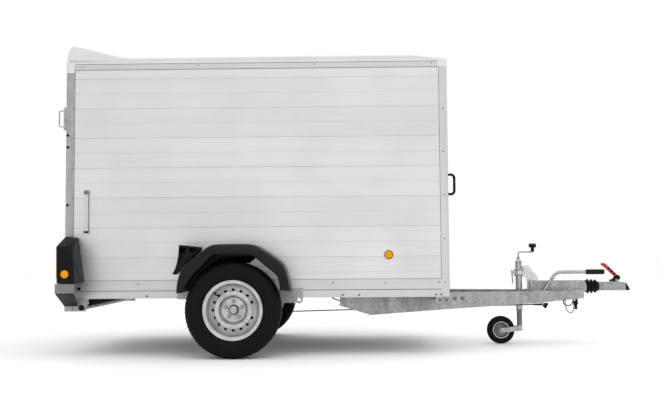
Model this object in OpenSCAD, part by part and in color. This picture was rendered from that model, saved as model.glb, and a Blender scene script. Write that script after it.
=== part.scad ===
// Single-axle livestock trailer: plank-sided box, rear loading ramp, moulded roof hood and V drawbar.
// X runs forward, Y to the trailer's left, Z up. Modules measure X from the wheel axle.

/* [Box] */
// Outer width over the side planks
box_w = 1360; // [1300:10:1400]
// From the axle back to the rear face of the door posts
box_rear = 1166; // [1120:2:1200]
// From the axle forward to the front face of the corner posts
box_front = 1436; // [1400:2:1500]
// Underside of the sill rails above the ground
sill_z = 384; // [380:1:390]
// Top of the floor board
floor_z = 450; // [448:1:454]
// Top of the roof rails
roof_z = 1998; // [1950:2:2050]
// Height of one hollow wall plank
plank_h = 204; // [180:2:220]
// Thickness of a wall plank
wall_t = 25; // [22:1:28]
// Height of the hood's rear crown above the roof rails
crown_h = 120; // [110:2:140]

/* [Ramp] */
// Top edge of the closed ramp
ramp_top_z = 1710; // [1650:5:1720]
// Height of the ramp's hinge pins
ramp_axis_z = 452; // [450:1:456]
// Distance of the hinge pins behind the door posts
ramp_axis_back = 10; // [10:1:12]

/* [Wheels] */
// Distance between the tyre centre planes
track = 1650; // [1640:2:1660]
// Outer diameter of a road tyre
tyre_d = 629; // [620:1:634]
// Width of a road tyre
tyre_w = 198; // [190:1:202]
// Bead seat diameter of a road wheel
rim_seat_d = 356; // [354:1:358]
// Circle of the wheel bolts
bolt_pcd = 112; // [110:1:114]
// How far the torsion axle lies in front of the wheel centres
arm_lead = 165; // [160:1:170]

/* [Drawbar] */
// Front tip of the coupling head
coupling_x = 2860; // [2850:2:2870]
// Rear end of the drawbar beams
beam_tail_x = 696; // [680:2:720]
// Front end of the drawbar beams
beam_nose_x = 2500; // [2496:2:2504]
// Half the distance between the beams at their rear ends
beam_tail_y = 560; // [550:2:566]
// Half the distance between the beams at their front ends
beam_nose_y = 70; // [68:1:74]
// Top of the drawbar beams
beam_top_z = 396; // [394:1:396]
// Thickness of the folded beam sheet
beam_t = 4; // [3:0.5:4]
// Diameter of the sliding draw tube
draw_tube_d = 56; // [54:1:58]
// Height of the draw tube's centre
draw_tube_z = 423; // [422:1:424]
// Diameter of the towing ball that the coupling takes
ball_d = 50; // [50]

/* [Jockey wheel] */
// Centre line of the jockey mast
mast_x = 2035; // [2033:1:2037]
// Outer diameter of the jockey mast
mast_d = 48; // [48]
// Diameter of the jockey wheel
jockey_d = 206; // [200:1:226]
// Distance the jockey wheel trails behind its mast
jockey_trail = 142; // [138:1:150]

/* [Hidden] */

$fn = 64;
eps = 1;                                // how far a cutter runs past the face it cuts
fit = 0.05;                             // radial clearance of a running pin

// The part's origin lies under the middle of its length: from the latch loops to the coupling's tip.
latch_loop_x = -(box_rear + 66);
axle_x = -(coupling_x + latch_loop_x) / 2;

half_w = box_w / 2;
skin_t = 1.8;                           // wall of the hollow plank section
groove = 1.8;                           // depth of the V between two planks
first_joint_z = 658;                    // height of the lowest plank joint
rail_t = 3;                             // wall of the aluminium rails
sill_box_h = 60;                        // closed lower part of a sill rail
sill_lip_h = 61;                        // outer lip that covers the planks' lower edge
sill_box_w = 43;
plank_z0 = sill_z + sill_box_h;
plank_z1 = roof_z - 8;
roof_rail_h = 51;
post_x = 57;                            // depth of a door post along the box
post_y = 68;                            // width of a door post across the box
post_low_z = 300;                       // the door posts reach below the sill
post_wall = 4;
header_h = 53;
corner_x = 56;                          // size of the front corner extrusion
corner_r = 22;
floor_t = 15;

axle_z = tyre_d / 2;
torsion_z = 344;                        // height of the torsion axle's centre
torsion_tube = 80;
spigot_d = 50;
stub_d = 35;
wheel_y = track / 2;
arm_y = 694;                            // inner face of a swing arm
arm_t = 24;
rim_flange_d = 391;
rim_w = 150;

beam_run = beam_nose_x - beam_tail_x;
beam_angle = atan((beam_tail_y - beam_nose_y) / beam_run);
beam_len = beam_run / cos(beam_angle);
beam_flange = 45;
beam_bottom = [[0, 322], [222, 252], [808, 281], [1452, 307], [beam_len, 337]];

housing_x = [2109, 2527];               // rear and front ends of the overrun housing
housing_half = 45;
housing_top_z = 467;
bellows_x = [2527, 2625];
tube_rear_x = 2225;
ball_x = 2812;
lever_x = 2762;                         // pivot of the coupling lever
lever_z = 468;
lever_half = 12;
ball_z = 405;

ramp_x = -(box_rear + ramp_axis_back);  // hinge axis of the ramp
ramp_half = 608;
ramp_face_x = -(box_rear + 2);
ramp_edge = 32;                         // width of the ramp's edge channels
ramp_lift = 12;                         // the ramp's lower edge above its hinge axis
latch_y = 640;
latch_z = 1617;

handbrake_x = 2195;
handbrake_z = 374;
handbrake_y = 60;
crank_z = 682;
clamp_z = 528;                          // screw of the jockey clamp
jockey_w = 50;
plug_at = [2452, -18];                  // centre line of the parked plug
stay_x = -1020;
stay_z = 1102;

// Outline of a mudguard seen from the side, about the wheel centre, from the rear to the front.
guard_outline = [[-367, 115], [-362, 172], [-345, 242], [-320, 285], [-279, 328], [-215, 376],
    [-147, 423], [-110, 430], [0, 431], [110, 430], [150, 421], [215, 382], [279, 340], [318, 306],
    [339, 279], [362, 210], [379, 123]];
guard_lip = [[-319, 115], [-305, 155], [-266, 217], [-195, 290], [-130, 356], [-100, 362], [0, 362],
    [100, 361], [142, 350], [210, 290], [275, 238], [298, 214], [308, 170], [310, 132]];
guard_y = [691, 940];
guard_t = 4;

chock_outline = [[-400, 552], [-384, 580], [-370, 622], [-361, 675], [-356, 742], [-220, 726],
    [-226, 711], [-386, 546]];
chock_y = 742;
chock_w = 116;
peg_at = [[-318, 690], [-272, 706]];
peg_r = 7;

// Routes of the cords, each a list of points under the drawbar's nose.
breakaway_route = [[2354, -92, 318], [2354, -92, 300], [2358, -92, 275], [2368, -91, 250],
    [2382, -90, 235], [2394, -89, 230], [2406, -88, 236], [2415, -86, 252], [2419, -83, 275],
    [2419, -80, 302], [2419, -80, 326]];
trailer_cable_route = [[2342, -88, 321], [2342, -88, 309], [2349, -85, 296], [2364, -78, 287],
    [2382, -68, 283], [2400, -56, 285], [2415, -45, 294], [2424, -38, 306], [2428, -33, 320],
    [2431, -29, 332], [2437, -24, 339], [2444, -20, 339], [2452, -18, 331], [2452, -18, 318]];
lighting_lead_route = [[612, -540, 435], [612, -540, 414], [625, -540, 391], [648, -541, 373],
    [676, -542, 360], [696, -543, 354], [724, -542, 348]];

// ---- shared shapes ----

module at_axle() translate([axle_x, 0, 0]) children();

module both_sides() { children(); mirror([0, 1, 0]) children(); }

// A block given by its lowest and highest corners.
module block(low, high) translate(low) cube(high - low);

// A plate whose outline is drawn along X and Z, from y0 to y1.
module side_plate(points, y0, y1)
    translate([0, max(y0, y1), 0]) rotate([90, 0, 0]) linear_extrude(abs(y1 - y0)) polygon(points);

// A round bar between two points.
module rod(a, b, r) {
    d = b - a;
    translate(a) rotate([0, acos(d.z / norm(d)), atan2(d.y, d.x)]) cylinder(r = r, h = norm(d));
}

module along_y(x, z, y0, y1, r) rod([x, min(y0, y1), z], [x, max(y0, y1), z], r);
module along_x(y, z, x0, x1, r) rod([min(x0, x1), y, z], [max(x0, x1), y, z], r);

// Round bar bent along an arc in the XZ plane.
module bend(x, y, z, radius, from, to, r)
    translate([x, y, z]) rotate([90, 0, 0]) rotate([0, 0, min(from, to)])
        rotate_extrude(angle = abs(to - from), $fn = 96) translate([radius, 0]) circle(r);

// Round bar bent into a bow: two legs from x_foot, joined by an upright at x_bar.
module bow(x_foot, x_bar, y, z_mid, half, bend_r, r) {
    way = sign(x_bar - x_foot);
    x_bend = x_bar - way * bend_r;
    for (side = [-1, 1]) {
        middle = way > 0 ? side * 45 : 180 - side * 45;
        along_x(y, z_mid + side * half, x_foot, x_bend, r);
        bend(x_bend, y, z_mid + side * (half - bend_r), bend_r, middle - 45, middle + 45, r);
    }
    rod([x_bar, y, z_mid - half + bend_r], [x_bar, y, z_mid + half - bend_r], r);
}

function reversed(points) = [for (i = [len(points) - 1 : -1 : 0]) points[i]];
function unit(v) = v / norm(v);

// A flexible cord swept along its route as one closed tube.
module cord(route, r, sides = 8) {
    n = len(route);
    rings = [for (i = [0 : n - 1])
        let (t = unit(route[min(i + 1, n - 1)] - route[max(i - 1, 0)]),
             a = unit(cross(t, [0, 1, 0.01])), b = cross(t, a))
        for (k = [0 : sides - 1]) route[i] + r * (cos(360 * k / sides) * a + sin(360 * k / sides) * b)];
    faces = concat([[for (k = [0 : sides - 1]) k]],
        [for (i = [0 : n - 2]) for (k = [0 : sides - 1]) let (j = (k + 1) % sides)
            [i * sides + k, (i + 1) * sides + k, (i + 1) * sides + j, i * sides + j]],
        [[for (k = [sides - 1 : -1 : 0]) (n - 1) * sides + k]]);
    polyhedron(rings, faces);
}

// ---- box ----

// Section of a stack of hollow planks: thickness along x, height along y.
module plank_section(z0, z1) {
    marks = [for (k = [-2 : 20]) let (z = first_joint_z + k * plank_h / 2) if (z > z0 + 10 && z < z1 - 10)
        [z, k % 2 == 0 ? groove : groove / 2]];
    left = [for (m = marks) each [[0, m[0] - m[1]], [m[1], m[0]], [0, m[0] + m[1]]]];
    cell = plank_h / 4;
    difference() {
        polygon(concat([[0, z0]], left, [[0, z1], [wall_t, z1]],
            [for (p = reversed(left)) [wall_t - p.x, p.y]], [[wall_t, z0]]));
        for (k = [-5 : 36]) {
            low = max(first_joint_z + k * cell + skin_t / 2, z0 + skin_t);
            high = min(first_joint_z + (k + 1) * cell - skin_t / 2, z1 - skin_t);
            if (high > low + 4) translate([groove + skin_t, low])
                square([wall_t - 2 * (groove + skin_t), high - low]);
        }
    }
}

module side_wall() {
    x0 = -box_rear + post_x;
    translate([x0, half_w, 0]) rotate([90, 0, 90]) mirror([1, 0, 0])
        linear_extrude(box_front - corner_x - x0) plank_section(plank_z0, plank_z1);
}

module side_wall_right() color("gainsboro") at_axle() mirror([0, 1, 0]) side_wall();
module side_wall_left() color("gainsboro") at_axle() side_wall();

module front_wall() color("gainsboro") at_axle()
    translate([box_front - rail_t, half_w - corner_x, 0]) rotate([90, 0, 0]) mirror([1, 0, 0])
        linear_extrude(box_w - 2 * corner_x) plank_section(plank_z0, plank_z1);

// Floor board, notched round the door posts and the corner posts.
module floor_board() color("saddlebrown") at_axle() {
    wide = half_w - sill_box_w - 2;
    narrow = half_w - post_y - 1;
    block([-box_rear + post_x + 1, -wide, floor_z - floor_t], [box_front - corner_x - 1, wide, floor_z]);
    block([-box_rear + 28, -narrow, floor_z - floor_t], [box_front - 46, narrow, floor_z]);
}

// Hollow steel members that carry the floor, with the outriggers beside the drawbar.
module cross_members() color("darkgray") at_axle() {
    for (x = [-1060, -560, -60, 400, 770, 1330]) difference() {
        block([x - 25, -half_w + sill_box_w, beam_top_z], [x + 25, half_w - sill_box_w, floor_z - floor_t]);
        block([x - 22, -half_w, beam_top_z + 3], [x + 22, half_w, floor_z - floor_t - 3]);
    }
    both_sides() {
        side_plate([[1375, 345], [1430, 345], [1430, sill_z], [1375, sill_z]], 382, half_w - 42);
        side_plate([[1343, 348], [1353, 337], [1441, 337], [1441, sill_z], [1343, sill_z]],
            half_w - 42, half_w - 38);
    }
}

// Section of a sill rail: closed box with a lip over the planks, outside at x = 0.
module sill_section(low_z) difference() {
    union() {
        translate([0, low_z]) square([sill_box_w, plank_z0 - low_z]);
        translate([0, low_z]) square([rail_t, plank_z0 - low_z + sill_lip_h]);
    }
    translate([rail_t + 2, low_z + rail_t]) square([sill_box_w - 2 * rail_t - 2, plank_z0 - low_z - 2 * rail_t]);
    translate([-eps, plank_z0 - 11]) square([eps + 3.2, 4]);
}

module sill_rails() color("lightgray") at_axle() {
    x0 = -box_rear + post_x;
    both_sides() translate([x0, half_w + rail_t, 0]) rotate([90, 0, 90]) mirror([1, 0, 0])
        linear_extrude(box_front - corner_x - x0) sill_section(sill_z);
    translate([box_front, half_w - corner_x, 0]) rotate([90, 0, 0]) mirror([1, 0, 0])
        linear_extrude(box_w - 2 * corner_x) sill_section(beam_top_z + 2);
}

// Corner extrusion with a rounded outer edge that takes the ends of the planks.
module front_corner_posts() color("lightgray") at_axle() both_sides()
    translate([box_front, half_w + rail_t, sill_z]) linear_extrude(roof_z - sill_z) difference() {
        union() {
            translate([-corner_x, -corner_x - rail_t]) square([corner_x - corner_r, corner_x + rail_t]);
            translate([-corner_x, -corner_x - rail_t]) square([corner_x, corner_x + rail_t - corner_r]);
            translate([-corner_r, -corner_r]) circle(corner_r);
        }
        translate([-corner_x + rail_t, -corner_x]) square([corner_x - 2 * rail_t - 7, corner_x - rail_t - 7]);
    }

// Galvanised door frame: two hollow posts, a header, a cross sill and the fixed hinge knuckles.
module rear_portal() color("darkgray") at_axle() {
    x0 = -box_rear;
    x1 = x0 + post_x;
    both_sides() difference() {
        block([x0, half_w - post_y, post_low_z], [x1, half_w, roof_z]);
        block([x0 + post_wall, half_w - post_y + post_wall, post_low_z - eps],
              [x1 - post_wall, half_w - post_wall, roof_z - post_wall]);
    }
    difference() {
        block([x0, -half_w + post_y, roof_z - header_h], [x1, half_w - post_y, roof_z]);
        block([x0 + post_wall, -half_w, roof_z - header_h + post_wall], [x1 - post_wall, half_w, roof_z - post_wall]);
    }
    difference() {
        block([x0, -half_w + post_y, sill_z], [x1, half_w - post_y, floor_z - floor_t]);
        block([x0 + post_wall, -half_w, sill_z - eps], [x1 - post_wall, half_w, floor_z - floor_t - post_wall]);
    }
    for (y = [-480, -30, 420]) {
        along_y(ramp_x, ramp_axis_z, y, y + 60, 9);
        along_y(ramp_x, ramp_axis_z, y, y + 18, 11);
        block([ramp_x - 4, y, floor_z - 30], [x0, y + 18, ramp_axis_z - 4]);
    }
}

// Channel that caps the planks' upper edge, outside at x = 0.
module roof_rail_section() difference() {
    translate([0, roof_z - roof_rail_h]) square([wall_t + 2 * rail_t, roof_rail_h]);
    translate([rail_t, roof_z - roof_rail_h - eps]) square([wall_t, plank_z1 - roof_z + roof_rail_h + eps]);
}

module roof_rails() color("lightgray") at_axle() {
    x0 = -box_rear + post_x;
    both_sides() translate([x0, half_w + rail_t, 0]) rotate([90, 0, 90]) mirror([1, 0, 0])
        linear_extrude(box_front - corner_x - x0) roof_rail_section();
    translate([box_front, half_w - corner_x, 0]) rotate([90, 0, 0]) mirror([1, 0, 0])
        linear_extrude(box_w - 2 * corner_x) roof_rail_section();
}

// Plan of a corner piece, its rounded outer corner at the origin.
module corner_plan(depth, width, r) {
    translate([-depth, -width]) square([depth - r, width]);
    translate([-depth, -width]) square([depth, width - r]);
    translate([-r, -r]) circle(r);
}

// White moulded corner pieces: an L that wraps each upper corner of the box.
module corner_cap(x, depth, low_z, high_z, nose) {
    cap_t = 3;
    translate([x, half_w + rail_t + 0.3 + cap_t, low_z]) linear_extrude(high_z - low_z) difference() {
        corner_plan(depth, post_y, nose + cap_t);
        translate([-cap_t, -cap_t]) corner_plan(depth, post_y, nose);
    }
}

module corner_caps() color("white") at_axle() both_sides() {
    corner_cap(box_front + 4, corner_x + 14, roof_z - 53, roof_z + 3, corner_r);
    mirror([1, 0, 0]) corner_cap(box_rear + 4, post_x + 4, roof_z - 73, roof_z + 2, 4);
}

// Side outline of the hood, drawn inwards by t.
function hood_side(t) = [[-box_rear - 1 + t, roof_z], [-box_rear - 1 + t, roof_z + 44],
    [-box_rear + 2 + t, roof_z + 62], [-box_rear + 10 + t, roof_z + 88 - t / 3],
    [-box_rear + 25 + t, roof_z + 110 - t / 2], [-box_rear + 38 + t, roof_z + crown_h - t],
    [-box_rear + 46 + t, roof_z + crown_h - t], [-box_rear + 131, roof_z + 100 - t],
    [-box_rear + 214, roof_z + 79 - t], [-box_rear + 297, roof_z + 57.5 - t], [-box_rear + 350, roof_z + 44 - t],
    [-box_rear + 398, roof_z + 37 - t], [-box_rear + 450, roof_z + 34 - t], [box_front - 276, roof_z + 36 - t],
    [box_front - 225, roof_z + 34 - t], [box_front - 176, roof_z + 29 - t], [box_front - 96, roof_z + 18 - t],
    [box_front - 30 - t, roof_z + 11 - t], [box_front - 10 - t, roof_z + 8 - t], [box_front - 5 - t, roof_z]];

module hood_form(t, low) intersection() {
    side_plate(concat([[-box_rear - 1 + t, low]], hood_side(t), [[box_front - 5 - t, low]]), -half_w, half_w);
    rotate([90, 0, 90]) translate([0, 0, -box_rear - 2 * eps]) linear_extrude(box_front + box_rear + 2 * eps) {
        flank = half_w - 6 - t;
        top = roof_z + crown_h + eps;
        polygon([[-flank, low], [flank, low], [flank, roof_z], [flank - 5, top], [5 - flank, top], [-flank, roof_z]]);
    }
}

module roof_hood() color("white") at_axle() difference() {
    hood_form(0, roof_z);
    hood_form(4, roof_z - 10);
}

// ---- small pieces on the box ----

module round_head(x, y, z, r, h) translate([x, y, z]) rotate([-90, 0, 0]) {
    cylinder(r = r, h = h * 0.4);
    translate([0, 0, h * 0.4]) cylinder(r1 = r, r2 = r * 0.6, h = h * 0.6);
}

module fasteners() color("silver") at_axle() both_sides() {
    outer = half_w + rail_t;
    for (x = [-1015, -665, -308, 49, 290, 647, 1003, 1362]) round_head(x, outer, 482, 5, 3);
    for (x = [-606, 715, 825, 1342, 1377]) round_head(x, outer, sill_z + 16, 7, 5);
    for (x = [-1040 : 345 : 1300]) round_head(x, outer, roof_z - 40, 4, 2.5);
    for (z = [sill_z + 98 : 294 : roof_z - 60]) round_head(box_front - 32, outer, z, 5, 3);
    for (z = [656 : plank_h : 1900]) round_head(-box_rear + post_x - 7, half_w, z, 4, 2.5);
    for (x = [1369, 1418]) round_head(x, half_w - 38, 358, 9, 7);
    for (s = [845, 903]) translate([beam_tail_x, beam_tail_y, 0]) rotate([0, 0, -beam_angle])
        round_head(s, 0, 354, 13, 8);
}

module plastic_plugs() color("black") at_axle() both_sides() {
    for (p = [[-1154, 1497], [-1154, 1415], [-1152, 1019]]) along_y(p.x, p.y, half_w, half_w + 2.5, 9.5);
    along_y(-1067, 452, half_w + rail_t, half_w + rail_t + 2.5, 11);
    along_y(-1048, 325, half_w + 4, half_w + 12, 19);
}

module side_reflectors() color("orange") at_axle() both_sides() {
    along_y(1027, 668, half_w, half_w + 6, 30);
    along_y(-1086, 556, 925.2, 930, 30);
}

// Corners of a lamp carrier, drawn inwards by t.
function carrier_corners(t) = [
    [-1139 + t, 925 - t, 495 - 3 * t], [-1025 - t, 925 - t, 495 - 3 * t], [-1072 - t, 925 - t, 740 - t],
    [-1144 + t, 925 - t, 734 - t], [-1112, 810, 804 - t], [-1140 + t, 750, 804 - t], [-1072 - t, 700, 796 - t],
    [-1072 - t, 687 + t / 2, 796 - t], [-1158 + t, 687 + t / 2, 796 - t],
    [-1028 - t, 687 + t / 2, 497 - 3 * t], [-1158 + t, 687 + t / 2, 495 - 3 * t]];

module carrier_form(t) hull() for (p = carrier_corners(t)) translate(p) cube(0.1);

module lamp_carriers() color("dimgray") at_axle() both_sides() difference() {
    carrier_form(0);
    carrier_form(4);
    block([-1170, 720, 530], [-1120, 890, 700]);
}

module rear_lamps() color("firebrick") at_axle() both_sides() {
    block([-1156, 722, 532], [-1130, 775, 698]);
    block([-1156, 777, 532], [-1130, 830, 698]);
    block([-1152, 832, 532], [-1130, 888, 698]);
}

// Steelwork under the rear corners: lamp supports on braces, side plates, gussets and the cross tube.
module rear_brackets() color("darkgray") at_axle() {
    root_y = half_w + rail_t + 1;
    both_sides() {
        translate([0, 0, 432]) difference() {
            linear_extrude(60) polygon([[-1150, 925], [-1020, 925], [-1095, root_y], [-1164, root_y]]);
            translate([0, 0, 4]) linear_extrude(52)
                polygon([[-1146, 921], [-1026, 921], [-1100, root_y - 1], [-1160, root_y - 1]]);
        }
        hull() {
            block([-1146, 920, 427], [-1024, 924, 431.5]);
            block([-1164, root_y, 335], [-1072, root_y + 4, 340]);
        }
        side_plate([[-1103, sill_z], [-1103, 300], [-1020, 300], [-998, sill_z]], half_w - 4, half_w);
        side_plate([[-1014, sill_z], [-1014, 334], [-833, 378], [-833, sill_z]], half_w - 44, half_w - 40);
    }
    along_y(-1048, 325, -half_w - 4, half_w + 4, 16);
}

module grab_handles() color("black") at_axle() both_sides() {
    face = box_front - rail_t;
    bow(face + 3, 1490, 560, 1149.5, 67.5, 24, 9);
    for (z = [1082, 1217]) along_x(560, z, face, face + 6, 20);
}

// Brackets for the ramp latches and the clasp that carries the side stay.
module wall_brackets() color("silver") at_axle() {
    both_sides() difference() {
        union() {
            block([-box_rear - 3, latch_y - 24, latch_z - 75], [-box_rear, latch_y + 24, latch_z + 75]);
            along_x(latch_y, latch_z, -box_rear - 10, -box_rear, 16);
        }
        along_x(latch_y, latch_z, -box_rear - 11, -box_rear + 1, 8 + fit);
    }
    mirror([0, 1, 0]) {
        block([stay_x - 16, half_w, stay_z - 14], [stay_x + 16, half_w + 4, stay_z + 18]);
        along_y(stay_x, stay_z, half_w, half_w + 26, 5);
        along_y(stay_x, stay_z, half_w + 22, half_w + 28, 9);
    }
}

// ---- running gear ----

// Folded C beam along local x, closed web outside at y = 0, cut to a deep belly near the rear.
module drawbar_beam() translate([beam_tail_x, -beam_tail_y, 0]) rotate([0, 0, beam_angle]) difference() {
    side_plate(concat([[0, beam_top_z]], beam_bottom, [[beam_len, beam_top_z]]), 0, beam_flange);
    side_plate(concat([[-eps, beam_top_z - beam_t], [-eps, 322 + beam_t + eps]],
        [for (p = beam_bottom) p + [0, beam_t + 0.6]],
        [[beam_len + eps, 337 + beam_t + 0.6], [beam_len + eps, beam_top_z - beam_t]]),
        beam_t, beam_flange + eps);
}

module drawbar_beam_right() color("darkgray") at_axle() drawbar_beam();
module drawbar_beam_left() color("darkgray") at_axle() mirror([0, 1, 0]) drawbar_beam();

module axle_tube() color("darkgray") at_axle() difference() {
    s = torsion_tube / 2;
    block([arm_lead - s, -half_w + 2, torsion_z - s], [arm_lead + s, half_w - 2, torsion_z + s]);
    block([arm_lead - s + 6, -half_w + 120, torsion_z - s + 6], [arm_lead + s - 6, half_w - 120, torsion_z + s - 6]);
    both_sides() along_y(arm_lead, torsion_z, half_w - 100, half_w, spigot_d / 2 + fit);
}

// Side plates that hang the axle, with a lashing eye in front of each wheel, and the chock holders.
module axle_brackets() color("silver") at_axle() both_sides() {
    inner = half_w + 4;
    outer = half_w + 10;
    difference() {
        side_plate([[60, 305], [311, 317], [320, 350], [404, 350], [424, 344], [446, 358], [449, 380],
            [445, 448], [304, 448], [304, 432], [60, 432]], inner, outer);
        along_y(arm_lead, torsion_z, half_w, outer + eps, spigot_d / 2 + 2);
        along_y(422, 371, half_w, outer + eps, 11);
    }
    side_plate([[-402, 388], [-396, 378], [-330, 378], [-330, 432], [-402, 432]], inner, outer);
    difference() {
        union() {
            side_plate([[-330, 700], [-318, 704], [-272, 720], [-256, 712], [-205, 700], [-215, 691],
                [-277, 645], [-330, 682]], chock_y - 8, chock_y - 4);
            for (p = peg_at) along_y(p.x, p.y, chock_y - 8, chock_y + 100, peg_r);
        }
        translate([0, 0, axle_z]) side_plate(guard_outline, 0, 1000);
    }
}

function guard_inset(points, t) = [for (p = points) p * (1 - t / norm(p))];

module guard_plate(outer, inner, y0, y1) translate([0, 0, axle_z])
    side_plate(concat(outer, reversed(inner)), y0, y1);

module mudguards() color("black") at_axle() both_sides() {
    guard_plate(guard_outline, guard_inset(guard_outline, guard_t), guard_y[0], guard_y[1]);
    guard_plate(guard_inset(guard_outline, 1), guard_lip, guard_y[1] - guard_t, guard_y[1]);
    guard_plate(guard_inset(guard_outline, 1), guard_inset(guard_outline, 14), guard_y[0], guard_y[0] + guard_t);
}

module chock() difference() {
    side_plate(chock_outline, chock_y, chock_y + chock_w);
    for (pocket = [[[-352, 728], [-300, 722], [-352, 668]], [[-288, 721], [-238, 715], [-262, 690], [-282, 690]],
        [[-352, 650], [-340, 668], [-332, 668], [-372, 600], [-366, 622]]])
        side_plate(pocket, chock_y + 8, chock_y + chock_w + 1);
    for (p = peg_at) along_y(p.x, p.y, chock_y - 1, chock_y + chock_w + 1, peg_r + 0.4);
}

module chock_right() color("black") at_axle() mirror([0, 1, 0]) chock();
module chock_left() color("black") at_axle() chock();

// Trailing arm with its torsion spigot, its stub axle and the brake's backing plate.
module swing_arm() {
    boss = 38;
    eye = 34;
    along_y(arm_lead, torsion_z, half_w - 90, arm_y + arm_t, spigot_d / 2);
    along_y(arm_lead, torsion_z, arm_y, arm_y + arm_t, boss);
    along_y(0, axle_z, arm_y, arm_y + arm_t, eye);
    side_plate([[0, axle_z - eye + 1], [arm_lead, torsion_z - boss + 1], [arm_lead, torsion_z + boss - 1],
        [0, axle_z + eye - 1]], arm_y, arm_y + arm_t);
    along_y(0, axle_z, arm_y, wheel_y + 6, stub_d / 2);
    along_y(0, axle_z, arm_y + arm_t - 1, arm_y + arm_t + 4, 160);
}

module swing_arm_right() color("dimgray") at_axle() mirror([0, 1, 0]) swing_arm();
module swing_arm_left() color("dimgray") at_axle() swing_arm();

// Puts a wheel piece, drawn about +Z with its outside up, on the left wheel's centre.
module on_wheel() translate([0, wheel_y, axle_z]) rotate([-90, 0, 0]) children();

module bolt_circle() for (i = [0 : 4]) rotate(72 * i - 90) translate([bolt_pcd / 2, 0, 0]) children();

// Brake drum with the wheel flange, the grease cap and five wheel bolts.
module hub() on_wheel() {
    difference() {
        union() {
            translate([0, 0, -98]) cylinder(d = 250, h = 62);
            translate([0, 0, -37]) cylinder(d = 150, h = 40);
            cylinder(d = 66, h = 26);
        }
        translate([0, 0, -99]) difference() {
            cylinder(d = 234, h = 56);
            cylinder(d = 80, h = 57);
        }
        translate([0, 0, -99]) cylinder(d = stub_d + 2 * fit, h = 106);
    }
    translate([0, 0, 25]) cylinder(d1 = 58, d2 = 44, h = 16);
    bolt_circle() {
        translate([0, 0, 2]) cylinder(d = 12, h = 16);
        translate([0, 0, 9 + fit]) cylinder(d = 24, h = 6);
        translate([0, 0, 14]) cylinder(d = 19, h = 13, $fn = 6);
    }
}

module hub_right() color("dimgray") at_axle() mirror([0, 1, 0]) hub();
module hub_left() color("dimgray") at_axle() hub();

function arc_points(centre, r, from, to, steps) = [for (i = [0 : steps])
    let (a = from + (to - from) * i / steps) centre + r * [cos(a), sin(a)]];

// Half section of the pressed steel wheel: radius along x, width along y.
module rim_section() {
    seat = rim_seat_d / 2;
    flange = rim_flange_d / 2;
    polygon([[seat - 5, -60], [seat - 25, -38], [seat - 25, 2], [seat - 9, 24], [seat - 5, 60],
        [seat - 4, 70], [flange - 4, 73], [flange, 75], [flange, 69], [flange - 5, 67], [seat, 65], [seat, 28],
        [seat - 17, 0], [seat - 17, -35], [seat, -58], [seat, -65], [flange - 5, -67], [flange, -69],
        [flange, -75], [flange - 4, -73], [seat - 4, -70]]);
    polygon([[34, 9], [78, 9], [86, 16], [96, 38], [108, 44], [120, 43], [134, 34], [seat - 13, 22],
        [seat - 13, 8], [132, 26], [120, 36], [108, 37], [101, 31], [91, 8], [82, 3], [34, 3]]);
}

module rim() on_wheel() difference() {
    rotate_extrude($fn = 96) rim_section();
    bolt_circle() cylinder(d = 13, h = 30, center = true);
    for (i = [0 : 15]) rotate(22.5 * i) for (y = [-2, 2]) translate([132, y, 0]) cylinder(d = 17, h = 60);
}

module rim_right() color("silver") at_axle() mirror([0, 1, 0]) rim();
module rim_left() color("silver") at_axle() rim();

// Hollow tyre: a rounded carcass with ribs between four tread grooves.
module tyre() on_wheel() rotate_extrude($fn = 96) {
    seat = rim_seat_d / 2 + fit;
    r = tyre_d / 2;
    w = tyre_w / 2;
    difference() {
        polygon(concat([[seat, -64], [seat + 16, -66]], arc_points([r - 62, -w + 38], 38, -130, -60, 4),
            [[r - 22, -w + 10], [r - 8, -w + 20], [r - 2, -w + 34], [r, -w + 56], [r, w - 56], [r - 2, w - 34],
             [r - 8, w - 20], [r - 22, w - 10]],
            arc_points([r - 62, w - 38], 38, 60, 130, 4), [[seat + 16, 66], [seat, 64]]));
        polygon([[seat - eps, -52], [seat + 18, -54], [r - 62, -w + 10], [r - 30, -w + 20], [r - 14, -w + 50],
            [r - 14, w - 50], [r - 30, w - 20], [r - 62, w - 10], [seat + 18, 54], [seat - eps, 52]]);
        for (y = [-48, -17, 17, 48]) translate([r - 7, y - 3.5]) square([9, 7]);
    }
}

module tyre_right() color("#222222") at_axle() mirror([0, 1, 0]) tyre();
module tyre_left() color("#222222") at_axle() tyre();

// ---- ramp ----

module ramp_planks() color("gainsboro") at_axle()
    translate([ramp_face_x, ramp_half - ramp_edge, 0]) rotate([90, 0, 0])
        linear_extrude(2 * (ramp_half - ramp_edge))
            plank_section(ramp_axis_z + ramp_lift + ramp_edge, ramp_top_z - ramp_edge);

module ramp_frame() color("lightgray") at_axle() {
    low = ramp_axis_z + ramp_lift;
    difference() {
        block([ramp_face_x - 1, -ramp_half, low], [ramp_face_x + wall_t + 1, ramp_half, ramp_top_z]);
        block([ramp_face_x - 2, -ramp_half + ramp_edge, low + ramp_edge],
              [ramp_face_x + wall_t + 2, ramp_half - ramp_edge, ramp_top_z - ramp_edge]);
        for (side = [-1, 1]) translate([ramp_face_x + 3, side * (ramp_half - ramp_edge / 2) - 12, low + 4])
            cube([wall_t - 6, 24, ramp_top_z - low]);
    }
    for (y = [-461, -11, 439]) difference() {
        union() {
            along_y(ramp_x, ramp_axis_z, y, y + 40, 12);
            block([ramp_x - 2, y, ramp_axis_z + 3], [ramp_face_x + 4, y + 40, low + 22]);
        }
        along_y(ramp_x, ramp_axis_z, y - 1, y + 41, 9 + fit);
    }
}

module ramp_treads() color("gray") at_axle()
    for (z = [560 : 115 : ramp_top_z - 60])
        block([ramp_face_x + wall_t + 1, -540, z], [ramp_face_x + wall_t + 11, 540, z + 22]);

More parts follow.
